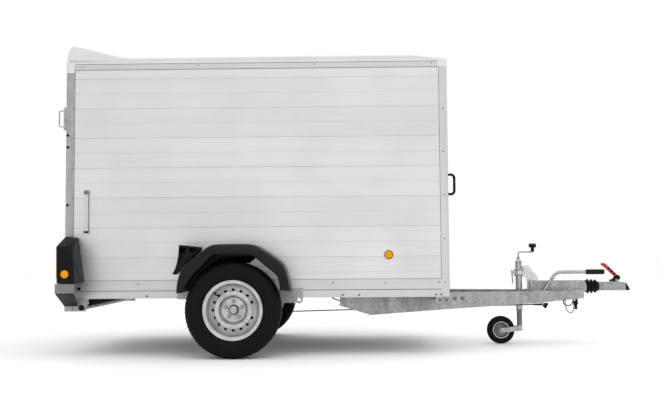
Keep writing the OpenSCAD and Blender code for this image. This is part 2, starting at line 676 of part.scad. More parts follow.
// Turn latch: pivot, grip bar with a rod loop, and a tongue that swings over the ramp's edge.
module latch() {
    x = -box_rear - 12;
    along_x(latch_y, latch_z, x - 4, -box_rear - 0.5, 8);
    block([x - 18, latch_y - 7, latch_z - 79], [x, latch_y + 7, latch_z + 79]);
    bow(x - 14, latch_loop_x + 4.5, latch_y, latch_z, 54, 10, 4.5);
    block([x - 8, latch_y - 16, latch_z - 66], [x, latch_y + 16, latch_z]);
    block([x - 4, latch_y - 16, latch_z - 66], [-box_rear - 4, latch_y + 16, latch_z - 54]);
}

module latch_right() color("silver") at_axle() mirror([0, 1, 0]) latch();
module latch_left() color("silver") at_axle() latch();

// Bar that hangs from its clasp on the right-hand wall.
module stay_rod() color("gainsboro") at_axle() mirror([0, 1, 0]) difference() {
    union() {
        block([stay_x - 13, half_w + 8, 842], [stay_x + 13, half_w + 20, stay_z]);
        along_y(stay_x, stay_z, half_w + 8, half_w + 20, 13);
        block([stay_x - 15, half_w + 6, 832], [stay_x + 15, half_w + 22, 850]);
    }
    along_y(stay_x, stay_z, half_w + 7, half_w + 21, 5 + fit);
}

// ---- drawbar ----

// Channel that guides the draw tube, with its feet on the beams.
module overrun_housing() color("darkgray") at_axle() {
    x0 = housing_x[0];
    x1 = housing_x[1];
    foot_z = beam_top_z + 6;
    difference() {
        union() {
            difference() {
                block([x0, -housing_half, beam_top_z], [x1 - 22, housing_half, housing_top_z]);
                block([x0 - eps, -housing_half + 5, beam_top_z - eps], [x1, housing_half - 5, housing_top_z - 5]);
            }
            side_plate([[x1 - 22, 386], [x1, 392], [x1, 440], [x1 - 6, housing_top_z - 12], [x1 - 22, housing_top_z]],
                -housing_half, housing_half);
            block([2300, -housing_half + 5, 388], [2322, housing_half - 5, housing_top_z - 5]);
            both_sides() {
                block([2440, housing_half - 1, beam_top_z], [2500, 84, foot_z]);
                block([2110, housing_half - 1, beam_top_z], [2146, 160, foot_z]);
            }
        }
        along_x(0, draw_tube_z, x0, x1 + eps, draw_tube_d / 2 + fit);
    }
    along_y(handbrake_x, handbrake_z, -84, -housing_half + 5, 9);
    side_plate([[handbrake_x - 22, beam_top_z], [handbrake_x - 14, handbrake_z - 14],
        [handbrake_x + 14, handbrake_z - 14], [handbrake_x + 22, beam_top_z], [handbrake_x + 22, 410],
        [handbrake_x - 22, 410]], -housing_half, -housing_half + 5);
}

module draw_tube() color("silver") at_axle() difference() {
    along_x(0, draw_tube_z, tube_rear_x, bellows_x[1] + 70, draw_tube_d / 2);
    along_x(0, draw_tube_z, tube_rear_x - 1, bellows_x[1] + 40, draw_tube_d / 2 - 6);
}

// Rubber gaiter round the draw tube, its folds shrinking towards the coupling.
module bellows() color("#1c1c1c") at_axle() {
    folds = 3;
    run = bellows_x[1] - bellows_x[0];
    pitch = 28;
    outer = [[0, 44], [4, 44], for (k = [0 : folds - 1]) each [[8 + k * pitch, 38],
        [15 + k * pitch, 54 - 2 * k], [22 + k * pitch, 54 - 2 * k]], [run - 6, 36], [run, 36]];
    translate([bellows_x[0], 0, draw_tube_z]) rotate([0, 90, 0]) rotate_extrude($fn = 64)
        polygon(concat([for (p = outer) [p.y, p.x]], [for (p = reversed(outer)) [p.y - 5, p.x]]));
}

// Cast coupling head: sleeve on the draw tube, a nose with the ball socket underneath, and the lever's ears.
module coupling_head() color("silver") at_axle() {
    bore_end = bellows_x[1] + 70;
    difference() {
        union() {
            along_x(0, draw_tube_z, bellows_x[1] + 2, 2742, 32);
            block([2650, -30, draw_tube_z - 30], [2742, 30, draw_tube_z + 24]);
            intersection() {
                side_plate([[2722, 392], [coupling_x - 2, 392], [coupling_x, 398], [coupling_x - 18, 424],
                    [2826, 446], [2806, 453], [2722, 453]], -40, 40);
                translate([0, 0, 380]) linear_extrude(90) polygon([[2720, -34], [2770, -38], [2820, -38],
                    [2846, -28], [2858, -12], [coupling_x, 0], [2858, 12], [2846, 28], [2820, 38], [2770, 38],
                    [2720, 34]]);
            }
        }
        along_x(0, draw_tube_z, bellows_x[1], bore_end, draw_tube_d / 2);
        translate([ball_x, 0, ball_z]) sphere(ball_d / 2 + 0.3);
        translate([ball_x, 0, 380]) cylinder(r = ball_d / 2 + 0.3, h = ball_z - 380);
    }
    both_sides() side_plate([[lever_x - 14, 450], [lever_x + 14, 450], [lever_x + 10, lever_z + 8],
        [lever_x - 10, lever_z + 8]], lever_half + 1, lever_half + 6);
    along_y(lever_x, lever_z, -lever_half - 6, lever_half + 6, 5);
}

module coupling_lever() color("red") at_axle() difference() {
    side_plate([[2712, 457], [2769, 458], [2790, 478], [2790, 496], [2768, 508], [2682, 592], [2656, 597],
        [2649, 584], [2672, 566], [2748, 492], [2730, 474], [2712, 470]], -lever_half, lever_half);
    along_y(lever_x, lever_z, -lever_half - eps, lever_half + eps, 5 + fit);
}

// Lever of the parking brake: pivot eye, bent tube, grip, and the tail that pulls the brake rod.
module handbrake_lever() color("silver") at_axle() {
    y = -handbrake_y;
    slope = 56;
    bend_r = 70;
    top_z = 531;
    level_x = handbrake_x + (top_z - handbrake_z) / tan(slope) + bend_r * tan(slope / 2);
    arc = [level_x - bend_r * sin(slope), y, top_z - bend_r + bend_r * cos(slope)];
    difference() {
        union() {
            rod([handbrake_x, y, handbrake_z], arc, 12.5);
            along_y(handbrake_x, handbrake_z, y - 14, y + 14, 20);
            side_plate([[handbrake_x - 13, handbrake_z], [handbrake_x - 9, 292], [handbrake_x + 9, 292],
                [handbrake_x + 13, handbrake_z]], y - 6, y + 6);
        }
        along_y(handbrake_x, handbrake_z, y - 15, y + 15, 9 + fit);
    }
    bend(level_x, y, top_z - bend_r, bend_r, 90, 90 + slope, 12.5);
    along_x(y, top_z, level_x, 2521, 12.5);
    along_x(y, top_z, 2520, 2654, 17);
}

// Pull rod back to the axle, with its clevis and reversing lever, and an equaliser bar at its rear end.
module brake_rod() color("dimgray") at_axle() {
    rod([258, -50, 250], [2130, -50, 292], 4);
    block([250, -90, 244], [258, -10, 256]);
    block([2130, -58, 286], [2160, -42, 298]);
    side_plate([[2150, 286], [2150, 298], [2236, 304], [2240, 292], [2222, 262], [2210, 264], [2196, 284]],
        -52, -46);
}

// Parking socket for the plug and the lugs that hold the cords under the right-hand beam.
module plug_holder() color("dimgray") at_axle() {
    difference() {
        union() {
            translate([plug_at.x, plug_at.y, 292]) cylinder(r = 18, h = 10);
            block([plug_at.x - 6, -50, 292], [plug_at.x + 6, plug_at.y - 12, 300]);
        }
        translate([plug_at.x, plug_at.y, 291]) cylinder(r = 12.5, h = 12);
    }
    block([plug_at.x - 6, -50, 292], [plug_at.x + 6, -44, 332.4]);
    block([2350, -98, 318], [2358, -86, 325.6]);
    block([2337, -93, 321], [2347, -83, 324.8]);
    block([2414, -86, 326], [2424, -74, 330.4]);
}

module breakaway_cable() color("#202020") at_axle() cord(breakaway_route, 3);
module trailer_cable() color("#202020") at_axle() cord(trailer_cable_route, 4);
module lighting_lead() color("#202020") at_axle() cord(lighting_lead_route, 4);

module trailer_plug() color("#303030") at_axle() translate([plug_at.x, plug_at.y, 0]) {
    translate([0, 0, 253]) cylinder(r = 10.5, h = 30);
    translate([0, 0, 283]) cylinder(r = 12, h = 20);
    translate([0, 0, 302]) cylinder(r = 16, h = 10);
    translate([0, 0, 312]) cylinder(r = 9, h = 6);
}

// ---- jockey wheel ----

// Casting on the housing that holds the mast's collar.
module jockey_bracket() color("lightgray") at_axle() difference() {
    union() {
        side_plate([[2062, 500], [2062, 572], [2074, 578], [2105, 583], [2133, 541], [2178, 491], [2172, housing_top_z],
            [2109, housing_top_z], [2109, 398], [2098, 398], [2098, 470], [2086, 492]], -17, 17);
        translate([mast_x, 0, 503]) cylinder(r = 31, h = 50);
        block([mast_x - 39, -12, 512], [mast_x - 20, 12, 544]);
    }
    translate([mast_x, 0, 480]) cylinder(r = mast_d / 2 + fit, h = 110);
    along_x(0, clamp_z, mast_x - 50, mast_x - 20, 6 + fit);
}

// Screw that clamps the mast in its collar, with its hanging T-bar.
module clamp_lever() color("silver") at_axle() {
    along_x(0, clamp_z, mast_x - 56, mast_x - 26, 6);
    rod([mast_x - 51, 0, clamp_z + 20], [mast_x - 45, 0, clamp_z - 82], 5);
}

module jockey_mast() color("silver") at_axle() translate([mast_x, 0, 0]) {
    r = mast_d / 2;
    difference() {
        translate([0, 0, 249]) cylinder(r = r, h = 375);
        translate([0, 0, 248]) cylinder(r = r - 4.4, h = 358);
        translate([0, 0, 600]) cylinder(r = 8 + fit, h = 30);
        translate([0, 0, 608]) difference() {
            cylinder(r = r + 1, h = 17);
            cylinder(r1 = r, r2 = r - 12, h = 17);
        }
    }
}

module jockey_crank() color("silver") at_axle() {
    bend_r = 14;
    grip_x = mast_x + 107;
    translate([mast_x, 0, 330]) cylinder(r = 8, h = 300);
    translate([mast_x, 0, 625]) cylinder(r = 12, h = 20);
    translate([mast_x, 0, 644]) cylinder(r = 5.5, h = crank_z - bend_r - 644);
    bend(mast_x + bend_r, 0, crank_z - bend_r, bend_r, 90, 180, 5.5);
    along_x(0, crank_z, mast_x + bend_r, grip_x, 5.5);
    translate([grip_x, 0, crank_z - 6]) cylinder(r = 7, h = 14);
    translate([grip_x, 0, crank_z + 6]) cylinder(r = 12, h = 31);
    translate([grip_x, 0, 717]) cylinder(r = 26, h = 29);
}

module jockey_inner() color("silver") at_axle() translate([mast_x, 0, 0]) difference() {
    translate([0, 0, 139]) cylinder(r = mast_d / 2 - 4.5, h = 300);
    translate([0, 0, 160]) cylinder(r = mast_d / 2 - 8, h = 264);
    translate([0, 0, 410]) cylinder(r = 8.3, h = 30);
    translate([0, 0, 138]) cylinder(r = 8 + fit, h = 23);
}

module jockey_fork() color("silver") at_axle() {
    r = mast_d / 2 - 3;
    x = mast_x - jockey_trail;
    translate([mast_x, 0, 95]) cylinder(r = r, h = 43.7);
    translate([mast_x, 0, 95]) cylinder(r = 8, h = 64);
    for (side = [-1, 1]) translate([0, side * 33, 0]) {
        side_plate([[x - 14, 88], [x - 10, 116], [mast_x + 10, 134], [mast_x + 14, 98], [x + 4, 84]], -2.5, 2.5);
    }
    block([mast_x - 18, -32, 100], [mast_x + 10, 32, 132]);
    along_y(x, jockey_d / 2, -38, 38, 8);
}

module on_jockey() translate([mast_x - jockey_trail, 0, jockey_d / 2]) rotate([-90, 0, 0]) children();

module jockey_rim() color("silver") at_axle() on_jockey() rotate_extrude($fn = 64)
    polygon([[8 + fit, -26], [16, -26], [20, -8], [48, -6], [56, -22], [62, -24], [62, 24], [56, 22], [48, 6],
        [20, 8], [16, 26], [8 + fit, 26]]);

module jockey_tyre() color("#222222") at_axle() on_jockey() rotate_extrude($fn = 64) {
    r = jockey_d / 2;
    polygon(concat([[62, -24]], arc_points([r - 24, -2], 23, -110, -20, 5), [[r, -6], [r, 6]],
        arc_points([r - 24, 2], 23, 20, 110, 5), [[62, 24]]));
}

floor_board();
cross_members();
sill_rails();
side_wall_right();
side_wall_left();
front_wall();
front_corner_posts();
rear_portal();
roof_rails();
corner_caps();
roof_hood();
fasteners();
plastic_plugs();
side_reflectors();
lamp_carriers();
rear_lamps();
rear_brackets();
grab_handles();
drawbar_beam_right();
drawbar_beam_left();
axle_tube();
axle_brackets();
mudguards();
overrun_housing();
bellows();
jockey_bracket();
clamp_lever();
plug_holder();
breakaway_cable();
trailer_cable();
trailer_plug();
lighting_lead();
wall_brackets();
swing_arm_right();
swing_arm_left();
hub_right();
hub_left();
rim_right();
rim_left();
tyre_right();
tyre_left();
ramp_planks();
ramp_frame();
ramp_treads();
latch_right();
latch_left();
stay_rod();
draw_tube();
coupling_head();
coupling_lever();
handbrake_lever();
brake_rod();
jockey_mast();
jockey_crank();
jockey_inner();
jockey_fork();
jockey_rim();
jockey_tyre();
chock_right();
chock_left();
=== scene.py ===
"""Single-axle livestock trailer with plank sides, a rear ramp and a moulded roof hood."""
import math

import bmesh
import bpy
from mathutils import Matrix, Vector


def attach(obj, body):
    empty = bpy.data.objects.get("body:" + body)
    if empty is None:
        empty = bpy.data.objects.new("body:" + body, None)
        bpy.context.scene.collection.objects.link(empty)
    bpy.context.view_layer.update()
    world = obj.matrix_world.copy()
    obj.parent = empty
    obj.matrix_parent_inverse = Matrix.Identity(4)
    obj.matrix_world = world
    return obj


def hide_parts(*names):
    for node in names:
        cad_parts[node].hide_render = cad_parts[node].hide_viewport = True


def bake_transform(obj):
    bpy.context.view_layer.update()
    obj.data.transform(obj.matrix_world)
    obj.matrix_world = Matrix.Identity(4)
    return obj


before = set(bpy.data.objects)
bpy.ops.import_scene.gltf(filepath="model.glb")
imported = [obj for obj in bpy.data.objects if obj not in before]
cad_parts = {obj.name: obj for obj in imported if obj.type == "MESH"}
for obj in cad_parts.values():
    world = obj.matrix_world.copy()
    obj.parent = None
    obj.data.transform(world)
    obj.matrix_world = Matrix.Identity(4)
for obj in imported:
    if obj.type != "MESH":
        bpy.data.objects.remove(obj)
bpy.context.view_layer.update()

# ---- camera ----
# It stands broadside to the trailer, a little above axle height, and looks slightly up.
camera = bpy.data.objects.new("camera", bpy.data.cameras.new("camera"))
bpy.context.scene.collection.objects.link(camera)
camera.data.sensor_width = 36
camera.data.lens = 46.45
stand = Matrix.Translation((-0.0933, -6.432, 0.6661))
level = Matrix.Rotation(math.pi / 2, 4, "X")
swing, tilt, lean = (Matrix.Rotation(a, 4, axis) for a, axis in ((0.0152, "Z"), (0.0591, "X"), (0.0070, "Y")))
camera.matrix_world = stand @ (swing @ tilt @ lean) @ level
bpy.context.scene.camera = camera

# ---- cords under the drawbar's nose ----
# A sheathed steel breakaway cable, the lighting cable looped back to its parked plug, and the feed
# from the floor frame to a beam. Each has a round PVC jacket and hangs between its lugs.


def linear(code):
    """An sRGB hex colour as the linear RGBA that shaders take."""
    parts = [int(code[i:i + 2], 16) / 255 for i in (1, 3, 5)]
    return (*[p / 12.92 if p <= 0.04045 else ((p + 0.055) / 1.055) ** 2.4 for p in parts], 1.0)


def node(tree, kind, inputs=None, **settings):
    """Adds a shader node. An input is a value, or the output socket that feeds it."""
    made = tree.nodes.new(kind)
    for key, value in settings.items():
        setattr(made, key, value)
    for key, value in (inputs or {}).items():
        if isinstance(value, bpy.types.NodeSocket):
            tree.links.new(value, made.inputs[key])
        else:
            made.inputs[key].default_value = value
    return made


def start(name):
    """A new material, its empty tree, and the place on the piece in metres."""
    made = bpy.data.materials.new(name)
    made.use_nodes = True
    tree = made.node_tree
    tree.nodes.clear()
    return made, tree, node(tree, "ShaderNodeTexCoord").outputs["Object"]


def stretched(tree, place, *scale):
    """The place scaled to so many pattern cells to the metre along X, Y and Z."""
    return node(tree, "ShaderNodeMapping", {"Vector": place, "Scale": scale}).outputs[0]


def weathered(tree, cloud, colours, rough, height, depth, strength, span=(0, 1), **sockets):
    """The shader of a finish whose colour and roughness drift while the cloud passes through its span.
    The height raises a bump of so many metres. Other sockets are given by their names."""
    share = node(tree, "ShaderNodeMapRange", {0: cloud, 1: span[0], 2: span[1]}).outputs[0]
    tint = node(tree, "ShaderNodeMix", {0: share, 6: linear(colours[0]), 7: linear(colours[1])},
                data_type="RGBA")
    if isinstance(rough, tuple):
        rough = node(tree, "ShaderNodeMapRange", {0: share, 3: rough[0], 4: rough[1]}).outputs[0]
    bump = node(tree, "ShaderNodeBump", {"Height": height, "Distance": depth, "Strength": strength})
    named = {key.replace("_", " "): value for key, value in sockets.items()}
    shader = node(tree, "ShaderNodeBsdfPrincipled",
                  {"Base Color": tint.outputs[2], "Roughness": rough, "Normal": bump.outputs[0], **named})
    node(tree, "ShaderNodeOutputMaterial", {"Surface": shader.outputs[0]})


# PVC jacket: extruded, so smooth and slightly shiny, with a matt film of road dust.
pvc_jacket, tree, place = start("pvc_jacket")
dust = node(tree, "ShaderNodeTexNoise", {"Vector": place, "Scale": 60, "Detail": 4})
weathered(tree, dust.outputs[0], ("#0a0a0b", "#1b1a19"), (0.35, 0.62), dust.outputs[0], 0.0002, 0.3,
          Specular_IOR_Level=0.12)


def dress(piece, body, material, slot, *stands_for):
    """Gives a new piece its material and its body, and hides the CAD nodes it stands for. The slot is not
    used.
    """
    if not piece.data.materials:
        piece.data.materials.append(material)
    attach(piece, body)
    if stands_for:
        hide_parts(*stands_for)
    return piece


AXLE_X = -0.814                     # the wheels' axle in the frame, in metres


def spot(x, y, z):
    """A point in millimetres from the axle, as metres in the frame."""
    return Vector((x / 1000 + AXLE_X, y / 1000, z / 1000))


def cord(name, route, radius):
    """A round cord along a route, straight between its points."""
    curve = bpy.data.curves.new(name, "CURVE")
    curve.dimensions = "3D"
    curve.bevel_depth = radius
    curve.bevel_resolution = 4
    curve.use_fill_caps = True
    line = curve.splines.new("POLY")
    line.points.add(len(route) - 1)
    for point, place in zip(line.points, route):
        point.co = (*place, 1)
    made = bpy.data.objects.new(name, curve)
    bpy.context.scene.collection.objects.link(made)
    return made


def rounded(spots, steps=4):
    """A route through spots in millimetres, its bends rounded by a Catmull-Rom curve."""
    points = [spot(*place) for place in spots]
    ends = [points[0] * 2 - points[1], *points, points[-1] * 2 - points[-2]]
    fine = []
    for a, b, c, d in zip(ends, ends[1:], ends[2:], ends[3:]):
        for k in range(steps):
            t = k / steps
            fine.append(0.5 * (2 * b + (c - a) * t + (2 * a - 5 * b + 4 * c - d) * t ** 2
                               + (3 * b - a - 3 * c + d) * t ** 3))
    return [*fine, points[-1]]


breakaway_route = rounded([
    (2354, -92, 318), (2354, -92, 300), (2358, -92, 275), (2368, -91, 250), (2382, -90, 235),
    (2394, -89, 230), (2406, -88, 236), (2415, -86, 252), (2419, -83, 275), (2419, -80, 302),
    (2419, -80, 326)])
cable_route = rounded([
    (2342, -88, 321), (2342, -88, 309), (2349, -85, 296), (2364, -78, 287), (2382, -68, 283),
    (2400, -56, 285), (2415, -45, 294), (2424, -38, 306), (2428, -33, 320), (2431, -29, 332),
    (2437, -24, 339), (2444, -20, 339), (2452, -18, 331), (2452, -18, 318)])
feed_route = rounded([
    (612, -540, 435), (612, -540, 414), (625, -540, 391), (648, -541, 373), (676, -542, 360),
    (696, -543, 354), (724, -542, 348)])


breakaway = cord("breakaway_cable_sheath", breakaway_route, 0.003)
dress(breakaway, "chassis", pvc_jacket, "black_rubber", "breakaway_cable")
cable = cord("lighting_cable_loop", cable_route, 0.004)
dress(cable, "chassis", pvc_jacket, "black_rubber", "trailer_cable")
dress(cord("lighting_feed", feed_route, 0.004), "chassis", pvc_jacket, "black_rubber", "lighting_lead")

# ---- underframe ----
# Folded steel drawbar beams, hollow cross-members, torsion axle and brackets, all hot-dip galvanised
# after welding. The zinc leaves a spangle of dull crystals about 8 mm across, clouds and faint runs.

galvanised_steel, tree, place = start("hot_dip_galvanised_steel")
crystal = node(tree, "ShaderNodeTexVoronoi", {"Vector": place, "Scale": 120})
grey = node(tree, "ShaderNodeRGBToBW", {"Color": crystal.outputs["Color"]})
cloud = node(tree, "ShaderNodeTexNoise", {"Vector": place, "Scale": 16, "Detail": 6, "Roughness": 0.6})
drips = stretched(tree, place, 18, 18, 4)
streak = node(tree, "ShaderNodeTexNoise", {"Vector": drips, "Scale": 1, "Detail": 6})
mixed = node(tree, "ShaderNodeMath", {0: grey.outputs[0], 1: cloud.outputs[0], 2: streak.outputs[0]},
             operation="MULTIPLY_ADD")
weathered(tree, mixed.outputs[0], ("#858686", "#b8b9b9"), (0.62, 0.42), mixed.outputs[0], 0.0002, 0.35,
          span=(0.35, 1.15), Metallic=0.85)


def carry(material, *names):
    """Gives CAD nodes whose shape already is the real one their material."""
    for name in names:
        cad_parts[name].data.materials.clear()
        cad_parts[name].data.materials.append(material)


carry(galvanised_steel, "cross_members", "drawbar_beam_right", "drawbar_beam_left", "axle_tube",
      "axle_brackets")

# Strip-galvanised tube of the door frame: zinc laid on in the mill, so smooth and even, with crystals
# about 20 mm across.
mill_zinc, tree, place = start("mill_galvanised_tube")
crystal = node(tree, "ShaderNodeTexVoronoi", {"Vector": stretched(tree, place, 1, 1, 0.6), "Scale": 45})
run = node(tree, "ShaderNodeTexNoise", {"Vector": stretched(tree, place, 14, 14, 2), "Scale": 1, "Detail": 5})
grey = node(tree, "ShaderNodeRGBToBW", {"Color": crystal.outputs["Color"]})
mixed = node(tree, "ShaderNodeMath", {0: grey.outputs[0], 1: 0.35, 2: run.outputs[0]},
             operation="MULTIPLY_ADD")
weathered(tree, mixed.outputs[0], ("#909191", "#b0b1b1"), 0.48, run.outputs[0], 0.0001, 0.2,
          span=(0.35, 0.95), Metallic=0.85)
carry(mill_zinc, "rear_portal")

# ---- floor ----
# One board of phenolic-faced plywood with a 6 mm wire-mesh print pressed into its face, so that hooves
# grip. Dark brown film, dull, with lighter scuffs where it is walked on.

phenolic_plywood, tree, place = start("phenolic_faced_plywood")
mesh_x = node(tree, "ShaderNodeTexWave", {"Vector": place, "Scale": 55}, bands_direction="X")
mesh_y = node(tree, "ShaderNodeTexWave", {"Vector": place, "Scale": 55}, bands_direction="Y")
wire = node(tree, "ShaderNodeMath", {0: mesh_x.outputs[1], 1: mesh_y.outputs[1]}, operation="MAXIMUM")
scuff = node(tree, "ShaderNodeTexNoise", {"Vector": place, "Scale": 6, "Detail": 8, "Roughness": 0.65})
weathered(tree, scuff.outputs[0], ("#3a271b", "#5d4837"), 0.55, wire.outputs[0], 0.0006, 0.6,
          span=(0.5, 0.7))
carry(phenolic_plywood, "floor_board")

# ---- plank walls ----
# Hollow extruded aluminium planks, tongue in groove, left as they come from the press and etched
# dull. Die lines run the length of each plank and its sheen differs a little from the next one's.

PLANK_HEIGHT, PLANK_JOINT = 0.204, 0.658     # metres: a plank, and a joint between two above the ground


def drawn_aluminium(name, along, dark, light, planks=False):
    """Extruded aluminium whose die lines, about 1 mm apart, run along axis 0, 1 or 2. With planks, each
    has a sheen of its own."""
    made, tree, place = start(name)
    fine, broad = [900] * 3, [70] * 3
    fine[along], broad[along] = 3, 0.6
    fine, broad = stretched(tree, place, *fine), stretched(tree, place, *broad)
    lines = node(tree, "ShaderNodeTexNoise", {"Vector": fine, "Scale": 1, "Detail": 3})
    bands = node(tree, "ShaderNodeTexNoise", {"Vector": broad, "Scale": 1, "Detail": 2})
    cloud = node(tree, "ShaderNodeTexNoise", {"Vector": place, "Scale": 2.5, "Detail": 6})
    total = node(tree, "ShaderNodeMath", {0: lines.outputs[0], 1: 0.5, 2: cloud.outputs[0]},
                 operation="MULTIPLY_ADD")
    total = node(tree, "ShaderNodeMath", {0: bands.outputs[0], 1: 0.4, 2: total.outputs[0]},
                 operation="MULTIPLY_ADD")
    if planks:
        axes = node(tree, "ShaderNodeSeparateXYZ", {"Vector": place})
        count = node(tree, "ShaderNodeMath", {0: axes.outputs["Z"], 1: PLANK_JOINT}, operation="SUBTRACT")
        count = node(tree, "ShaderNodeMath", {0: count.outputs[0], 1: PLANK_HEIGHT}, operation="DIVIDE")
        count = node(tree, "ShaderNodeMath", {0: count.outputs[0]}, operation="FLOOR")
        each = node(tree, "ShaderNodeTexWhiteNoise", {"W": count.outputs[0]}, noise_dimensions="1D")
        total = node(tree, "ShaderNodeMath", {0: each.outputs[0], 1: 0.25, 2: total.outputs[0]},
                     operation="MULTIPLY_ADD")
    weathered(tree, total.outputs[0], (dark, light), (0.5, 0.36), lines.outputs[0], 0.0001, 0.25,
              span=(0.55, 1.45), Metallic=0.9)
    return made


side_planks = drawn_aluminium("etched_aluminium_planks", 0, "#c9c9c9", "#d8d8d8", True)
cross_planks = drawn_aluminium("etched_aluminium_cross_planks", 1, "#c9c9c9", "#d8d8d8", True)
carry(side_planks, "side_wall_right", "side_wall_left")
carry(cross_planks, "front_wall")

# ---- rails and corner posts ----
# Aluminium extrusions that take the planks' edges: a sill box with an outer lip, a roof channel and
# rounded corner posts. Natural anodising gives them an even satin sheen, a little greyer than the planks.

satin_rail = drawn_aluminium("anodised_aluminium_rail", 0, "#bfbfbf", "#cecece")
cross_rail = drawn_aluminium("anodised_aluminium_cross_rail", 1, "#bfbfbf", "#cecece")
upright_rail = drawn_aluminium("anodised_aluminium_post", 2, "#bfbfbf", "#cecece")
carry(satin_rail, "sill_rails", "roof_rails")
carry(upright_rail, "front_corner_posts")

# ---- corner caps ----
# Four white pieces of injection-moulded ABS that hood the upper corners, screwed through the rails.
# The mould leaves a faint orange-peel, and their edges are rounded all round.


def keep(name, shape, smooth_angle=35):
    """Turns a bmesh into a piece in the scene, shaded smooth apart from edges sharper than the angle."""
    mesh = bpy.data.meshes.new(name)
    shape.to_mesh(mesh)
    shape.free()
    made = bpy.data.objects.new(name, mesh)
    bpy.context.scene.collection.objects.link(made)
    mesh.shade_smooth()
    mesh.set_sharp_from_angle(angle=math.radians(smooth_angle))
    return made


def soften(piece, width, segments, angle):
    """Rounds a piece's edges to a width in millimetres, where they are sharper than the angle in radians."""
    edge = piece.modifiers.new("rounded_edges", "BEVEL")
    edge.width, edge.segments, edge.limit_method, edge.angle_limit = width / 1000, segments, "ANGLE", angle


def eased(name, cad_name, width, segments, material, slot, body="chassis", where=None):
    """A copy of a CAD node with its edges rounded off to a width in millimetres, as moulding, casting or
    zinc leaves them. With where, only the faces whose middle passes it, in millimetres from the axle."""
    shape = bmesh.new()
    shape.from_mesh(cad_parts[cad_name].data)
    if where:
        middles = [(face, face.calc_center_median() * 1000) for face in shape.faces]
        outside = [face for face, m in middles if not where(m.x - AXLE_X * 1000, m.y, m.z)]
        bmesh.ops.delete(shape, geom=outside, context="FACES")
    bmesh.ops.remove_doubles(shape, verts=shape.verts, dist=1e-5)
    bmesh.ops.dissolve_limit(shape, angle_limit=math.radians(0.5), verts=shape.verts, edges=shape.edges)
    made = keep(name, shape)
    soften(made, width, segments, math.radians(32))
    return dress(made, body, material, slot, cad_name)


# The orange-peel is drawn 3 mm wide, so that it shows.
white_abs, tree, place = start("moulded_white_abs")
peel = node(tree, "ShaderNodeTexNoise", {"Vector": place, "Scale": 350, "Detail": 2})
cloud = node(tree, "ShaderNodeTexNoise", {"Vector": place, "Scale": 8, "Detail": 5})
weathered(tree, cloud.outputs[0], ("#cacac9", "#d8d8d7"), 0.4, peel.outputs[0], 0.0002, 0.25, IOR=1.53)
eased("corner_caps_moulded", "corner_caps", 1.2, 2, white_abs, "white_plastic")

# ---- roof hood ----
# One hood of glass-fibre polyester laid up in a mould: a flat front, a crown that sweeps up to the
# rear, rolled flanks and a bead along its foot. White gelcoat, glossy, with the faint print of the mat.

RAIL_TOP = 1998                     # height of the roof rails' top
HOOD_HALF, HOOD_EDGE = 674, 11      # half the hood's width, and the radius of its top edges
SIDES = ((-1, "right"), (1, "left"))    # which side lies towards -Y and which towards +Y
# Stations along the trailer: place, height over the rail, and how far the flank is drawn in there.
hood_side = [
    (-1167, 0, 5), (-1167, 12, 5), (-1167, 28, 4.6), (-1166.6, 44, 4), (-1164.6, 60, 3.4), (-1161, 75, 2.8),
    (-1156, 88, 2.2), (-1149.5, 99, 1.6), (-1141, 109.5, 1), (-1134, 116, 0.6), (-1128.5, 119.2, 0.3),
    (-1122, 119.6, 0), (-1112, 117.4, 0), (-1098, 114.2, 0), (-1066, 107, 0), (-1035, 99.6, 0),
    (-994, 89.4, 0), (-952, 78.4, 0), (-911, 67.8, 0), (-869, 57, 0), (-828, 47, 0), (-796, 40.6, 0),
    (-770, 36.6, 0), (-745, 34.6, 0), (-715, 33.6, 0)]
hood_side += [(-640 + k * 100, 33.6 + k * 0.12, 0) for k in range(18)]
hood_side += [
    (1120, 35.8, 0), (1170, 35.4, 0), (1205, 33.9, 0), (1240, 30.8, 0), (1290, 24.2, 0), (1340, 17.6, 0),
    (1385, 12.8, 0.6), (1410, 10.6, 1.4), (1422, 9, 2.6), (1428, 6.4, 4), (1430.5, 3, 5.4), (1431, 0, 6)]


def hood_section(height, drawn_in):
    """Half a section of the hood, from the foot of its flank to the middle of its top."""
    edge = min(HOOD_EDGE, height * 0.6)
    half = HOOD_HALF - drawn_in
    wall = [(half - 0.05 * k * (height - edge) / 4, (height - edge) * k / 4) for k in range(5)]
    y, z = wall[-1]
    angles = [math.radians(15 * k) for k in range(1, 7)]
    bend = [(y - edge + edge * math.cos(a), z + edge * math.sin(a)) for a in angles]
    return wall + bend + [(y * (1 - k / 6), height) for k in (0.6, 2, 3, 4, 5, 6)]


def slab(name, outline, y0, y1, round_off, segments=3):
    """A plate with an outline along X and Z, its edges rounded; all in millimetres from the axle."""
    shape = bmesh.new()
    near = [shape.verts.new(spot(x, y0, z)) for x, z in outline]
    far = [shape.verts.new(spot(x, y1, z)) for x, z in outline]
    shape.faces.new(near)
    shape.faces.new(far[::-1])
    for i in range(len(outline)):
        j = (i + 1) % len(outline)
        shape.faces.new((near[i], far[i], far[j], near[j]))
    bmesh.ops.recalc_face_normals(shape, faces=shape.faces)
    made = keep(name, shape)
    soften(made, round_off, segments, 0.4)
    return made


shape = bmesh.new()
rows = []
for x, height, drawn_in in hood_side:
    half = hood_section(height, drawn_in)
    across = [(-y, z) for y, z in half] + [(y, z) for y, z in reversed(half[:-1])]
    rows.append([shape.verts.new(spot(x, y, RAIL_TOP + z)) for y, z in across])
for a, b in zip(rows, rows[1:]):
    for p, q, r, s in zip(a, a[1:], b[1:], b):
        shape.faces.new((p, q, r, s))
bmesh.ops.dissolve_degenerate(shape, dist=1e-6, edges=shape.edges)
bmesh.ops.recalc_face_normals(shape, faces=shape.faces)
hood = keep("roof_hood_moulding", shape, 40)
skin = hood.modifiers.new("laminate", "SOLIDIFY")
skin.thickness, skin.offset = 0.004, -1

